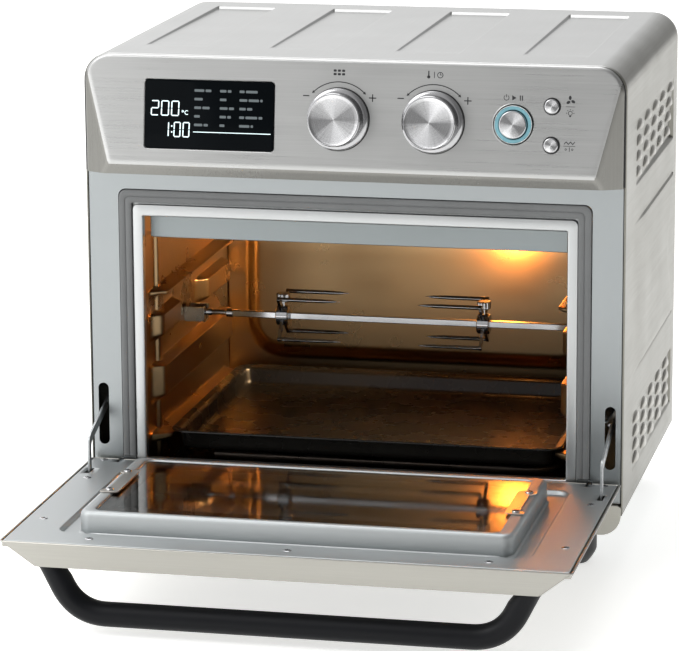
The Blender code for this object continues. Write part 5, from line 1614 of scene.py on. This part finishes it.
def build_fork(suffix, sign):
    """Collar, a cross of flat arms, four tapered prongs and a knurled thumbscrew."""
    x = (-84 if sign < 0 else 77) * MM
    centre = (x, SPIT_Y, SPIT_Z)
    bm = bmesh.new()
    collar = [(2.9, -5), (7.2, -5), (8, -4.3), (8, 4.3), (7.2, 5), (2.9, 5)]
    add_turned(bm, mm(collar), "X", centre, 36, closed=True)
    for index in range(4):
        turn = Matrix.Translation(centre) @ Matrix.Rotation(math.pi / 4 + index * math.pi / 2, 4, "X")
        widths = ((5.5, 2.6), (14, 2.3), (21.5, 2.1), (24, 1.6))
        loops = [[(-1.2, y, -w), (1.2, y, -w), (1.2, y, w), (-1.2, y, w)] for y, w in widths]
        loops = [[turn @ (Vector(p) * MM) for p in loop] for loop in loops]
        add_loft(bm, loops, capped=True)
        loops = []
        for length, size in ((-1, 1.3), (6, 1.3), (36, 1.15), (44, 0.8), (49.8, 0.15)):
            corners = ((-1, -1), (1, -1), (1, 1), (-1, 1))
            places = [Vector((-sign * length, 22.7 + a * size, b * size)) for a, b in corners]
            loops.append([turn @ (place * MM) for place in places])
        add_loft(bm, loops, capped=True)
    add_turned(bm, mm([(0, 6), (2.2, 6), (2.2, 12)]), "Z", centre, 20)
    knurl = []
    for z in (12, 12.7, 17.3, 18):
        reach = 4.9 if z in (12, 18) else 5.5
        ring = [((reach - 0.35 * (k % 2)) * MM, math.pi * k / 24) for k in range(48)]
        knurl.append([(x + r * math.cos(a), SPIT_Y + r * math.sin(a), SPIT_Z + z * MM) for r, a in ring])
    add_loft(bm, knurl, capped=True)
    fork = piece(f"meat_fork_{suffix}", bm, CHROME, "spit", f"spit_fork_{suffix}", sharp=30)
    bevel(fork, 0.2 * MM, 1, 50)


def build_spit_supports():
    low, high = local_box("spit_bracket")
    bm = bmesh.new()
    notch = [(-3.3, 14), (-3.3, 4.2)] + arc((0, 3.2), 3.3, 180, 360, 10)[1:] + [(3.3, 14)]
    face = [(y * MM + SPIT_Y, z * MM + low.z - 0.3 * MM + 1.2 * MM) for y, z in notch]
    corner = 2 * MM
    outline = [(low.y, high.z), (low.y, low.z + corner), (low.y + corner, low.z)]
    outline += [(high.y - corner, low.z), (high.y, low.z + corner), (high.y, high.z)]
    outline += [(y, min(z, high.z)) for y, z in face[::-1]]
    add_plate(bm, [outline], "X", -148 * MM, -146.8 * MM)
    x0, x1 = -163.1 * MM, -147.4 * MM
    for y in (low.y, high.y - 1 * MM):
        flap = [(x0, y), (x1, y), (x1, y + 1 * MM), (x0, y + 1 * MM)]
        add_plate(bm, [flap], "Z", low.z + 1 * MM, high.z)
    bracket = piece("folded_spit_bearing", bm, BRACKET_STEEL, "oven", "spit_bracket", sharp=30)
    bevel(bracket, 0.2 * MM)


def build_drive_socket():
    """The turned cup that the spit's square end sits in, and its shaft."""
    cup = [(2.9, 144), (8.6, 144), (9.6, 144.4), (10.6, 145.2), (11, 146.2), (11, 151), (10.4, 152)]
    shaft_end, bore_end = 169.5, 149.2
    bm = bmesh.new()
    add_turned(bm, mm(cup + [(3, 152), (3, shaft_end)]), "X", SPIT, 40)
    add_turned(bm, mm([(0, bore_end), (2.9, bore_end), (2.9, 144)]), "X", SPIT, 40)
    add_turned(bm, mm([(3, shaft_end), (0, shaft_end)]), "X", SPIT, 40)
    weld(bm)
    piece("drive_socket", bm, CHROME, "spit_drive", "spit_socket", sharp=30)


def build_pan():
    """Deep-drawn enamelled pan with a rolled rim."""
    low, high = local_box("baking_pan")
    rectangle = ((low.x, low.y), (high.x, high.y))
    rim = [
        (0.0, 41.3), (0.0, 41.9), (-0.5, 42.4), (-1.3, 42.5), (-2.2, 42.2), (-4.6, 41.9), (-6.2, 41.6),
        (-7.4, 40.6),
    ]
    wall = [(-8.1, 38.5), (-9.6, 31.0), (-10.6, 28.6), (-12.2, 27.4), (-15, 27.0)]
    under = [
        (-15, 26.0), (-11.6, 26.3), (-9.2, 27.8), (-8.2, 30.4), (-6.9, 38.2), (-6.0, 40.7), (-3.0, 41.0),
        (-0.5, 41.05),
    ]
    bm = bmesh.new()
    radius, steps = 15 * MM, 10
    rings = add_loft(bm, stacked(rectangle, rim + wall, radius, steps))
    bm.faces.new(rings[-1])
    rings = add_loft(bm, stacked(rectangle, under, radius, steps))
    bm.faces.new(rings[0])
    add_loft(bm, stacked(rectangle, (under[-1], rim[0]), radius, steps))
    weld(bm)
    piece("enamelled_pan", bm, ENAMEL, "pan", "baking_pan", sharp=50)


build_spit()
for fork_suffix, fork_sign in sides():
    build_fork(fork_suffix, fork_sign)
build_spit_supports()
build_drive_socket()
build_pan()


# --- the pieces whose CAD shape is already right --------------------------------------------------

LOOKS = {
    "brushed_steel": DOOR_STEEL, "cavity_steel": LAMPLIT_CAVITY_STEEL, "galvanised_steel": GALVANISED,
    "chrome": CHROME, "grey_silicone": SEAL, "black_plastic": BLACK_PLASTIC, "black_handle": SATIN_BLACK,
    "tinted_glass": CLEAR_GLASS, "display_glass": DISPLAY_GLASS, "lit_ring": LIT_TEAL,
    "black_enamel": ENAMEL, "circuit_board": CIRCUIT, "heater_tube": HEATER_TUBE,
}
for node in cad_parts.values():
    for slot in node.material_slots:
        name = slot.material.name.split(".")[0] if slot.material else None
        if name in LOOKS:
            slot.material = LOOKS[name]


# --- light, floor and camera -------------------------------------------------------------------

CAMERA_PLACE = ORIGIN + Vector((0.5578, -2.5279, 0.7297))
CAMERA_YAW, CAMERA_PITCH, CAMERA_ROLL = 12.657, 12.897, -0.355
LENS = 187.77
FLOOR_GLOW = 0.62  # keeps the floor as white as the photo's ground
LAMP_GLOW_POWER, LAMP_SPILL_POWER = 1.9, 2.2
STUDIO_LIGHTS = (  # name, place, what it is aimed at, size and power
    ("key", (-1.6, -1.6, 2.2), (0, 0, 0.15), (1.6, 1.2), 20),
    ("card", (-0.95, -1.1, 0.45), (0, -0.1, 0.15), (0.9, 0.9), 2.4),
    ("top", (-0.3, 0.4, 2.4), (0, 0, 0.2), (1.8, 1.4), 14),
)
# Brightness of the studio along each axis: from and to (as a direction), and the factor at each end
WORLD_RAMPS = (("X", -0.5, 0.35, 1.5, 0.36), ("Y", -1.0, 1.0, 0.62, 1.1), ("Z", -0.3, 0.9, 0.8, 1.15))


def placed(name, data, matrix):
    """A camera or light in the scene."""
    obj = bpy.data.objects.new(name, data)
    obj.matrix_world = matrix
    bpy.context.scene.collection.objects.link(obj)
    return obj


def aimed(place, way):
    """The matrix of something at place that looks along way."""
    return Matrix.Translation(place) @ way.to_track_quat("-Z", "Y").to_matrix().to_4x4()


def build_camera():
    data = bpy.data.cameras.new("camera")
    data.lens = LENS
    turn = Matrix.Rotation(math.radians(CAMERA_YAW), 4, "Z")
    turn @= Matrix.Rotation(math.radians(90 - CAMERA_PITCH), 4, "X")
    turn @= Matrix.Rotation(math.radians(CAMERA_ROLL), 4, "Z")
    bpy.context.scene.camera = placed("camera", data, Matrix.Translation(CAMERA_PLACE) @ turn)


def build_floor():
    bm = bmesh.new()
    bmesh.ops.create_grid(bm, x_segments=1, y_segments=1, size=6)
    floor = mesh_object("floor", bm)
    look = Look("floor_white", "brushed_steel", (0.86, 0.86, 0.85), 0.65)
    look.tint(look.noise(look.place(), 3.0), (0.855, 0.855, 0.845), (0.875, 0.875, 0.865))
    look.shader.inputs["Emission Color"].default_value = (1, 1, 0.985, 1)
    look.shader.inputs["Emission Strength"].default_value = FLOOR_GLOW
    floor.data.materials.append(look.material)


def area_light(name, place, target, size, power, colour=(1, 1, 1)):
    data = bpy.data.lights.new(name, "AREA")
    data.shape = "RECTANGLE"
    data.size, data.size_y = size
    data.energy = power
    data.color = colour
    return placed(name, data, aimed(place, Vector(target) - Vector(place)))


def build_world():
    """A pale studio: brighter to the left and above, dimmer to the right and low down."""
    world = bpy.data.worlds.new("studio")
    bpy.context.scene.world = world
    world.use_nodes = True
    tree = Nodes(world.node_tree)
    background = world.node_tree.nodes["Background"].inputs
    parts = tree.parts(tree.node("ShaderNodeTexCoord").outputs["Generated"])
    strength = 1.0
    for axis, low, high, at_low, at_high in WORLD_RAMPS:
        strength = tree.maths("MULTIPLY", strength, tree.spread(parts[axis], at_low, at_high, low, high))
    choose = tree.node("ShaderNodeMix")
    tree.link(tree.node("ShaderNodeLightPath").outputs["Is Camera Ray"], choose.inputs["Factor"])
    tree.link(strength, choose.inputs["A"])
    choose.inputs["B"].default_value = 1.0
    tree.link(choose.outputs["Result"], background["Strength"])
    background["Color"].default_value = (1.0, 1.0, 1.0, 1)


def build_cavity_lamp():
    """The oven lamp's warm light: a glow on the rear wall beside it, and a weak one across the cavity."""
    data = bpy.data.lights.new("lamp_glow", "SPOT")
    data.energy, data.color = LAMP_GLOW_POWER, (1.0, 0.36, 0.07)
    data.shadow_soft_size = 12 * MM
    data.spot_size, data.spot_blend = math.radians(165), 1.0
    placed("lamp_glow", data, aimed(ORIGIN + Vector((72, 198, 154)) * MM, Vector((-0.30, 1.0, -0.05))))
    low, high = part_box("lamp_lens")
    lens = Vector((low.x - 3 * MM, (low.y + high.y) / 2, (low.z + high.z) / 2))
    across = lens + Vector((-1, 0.55, -0.15))
    spill = area_light("lamp_spill", lens, across, (36 * MM, 36 * MM), LAMP_SPILL_POWER, (1.0, 0.70, 0.38))
    spill.data.spread = math.radians(75)


bpy.context.scene.view_settings.view_transform = "Standard"
build_camera()
build_floor()
build_world()
for light in STUDIO_LIGHTS:
    area_light(*light)
build_cavity_lamp()
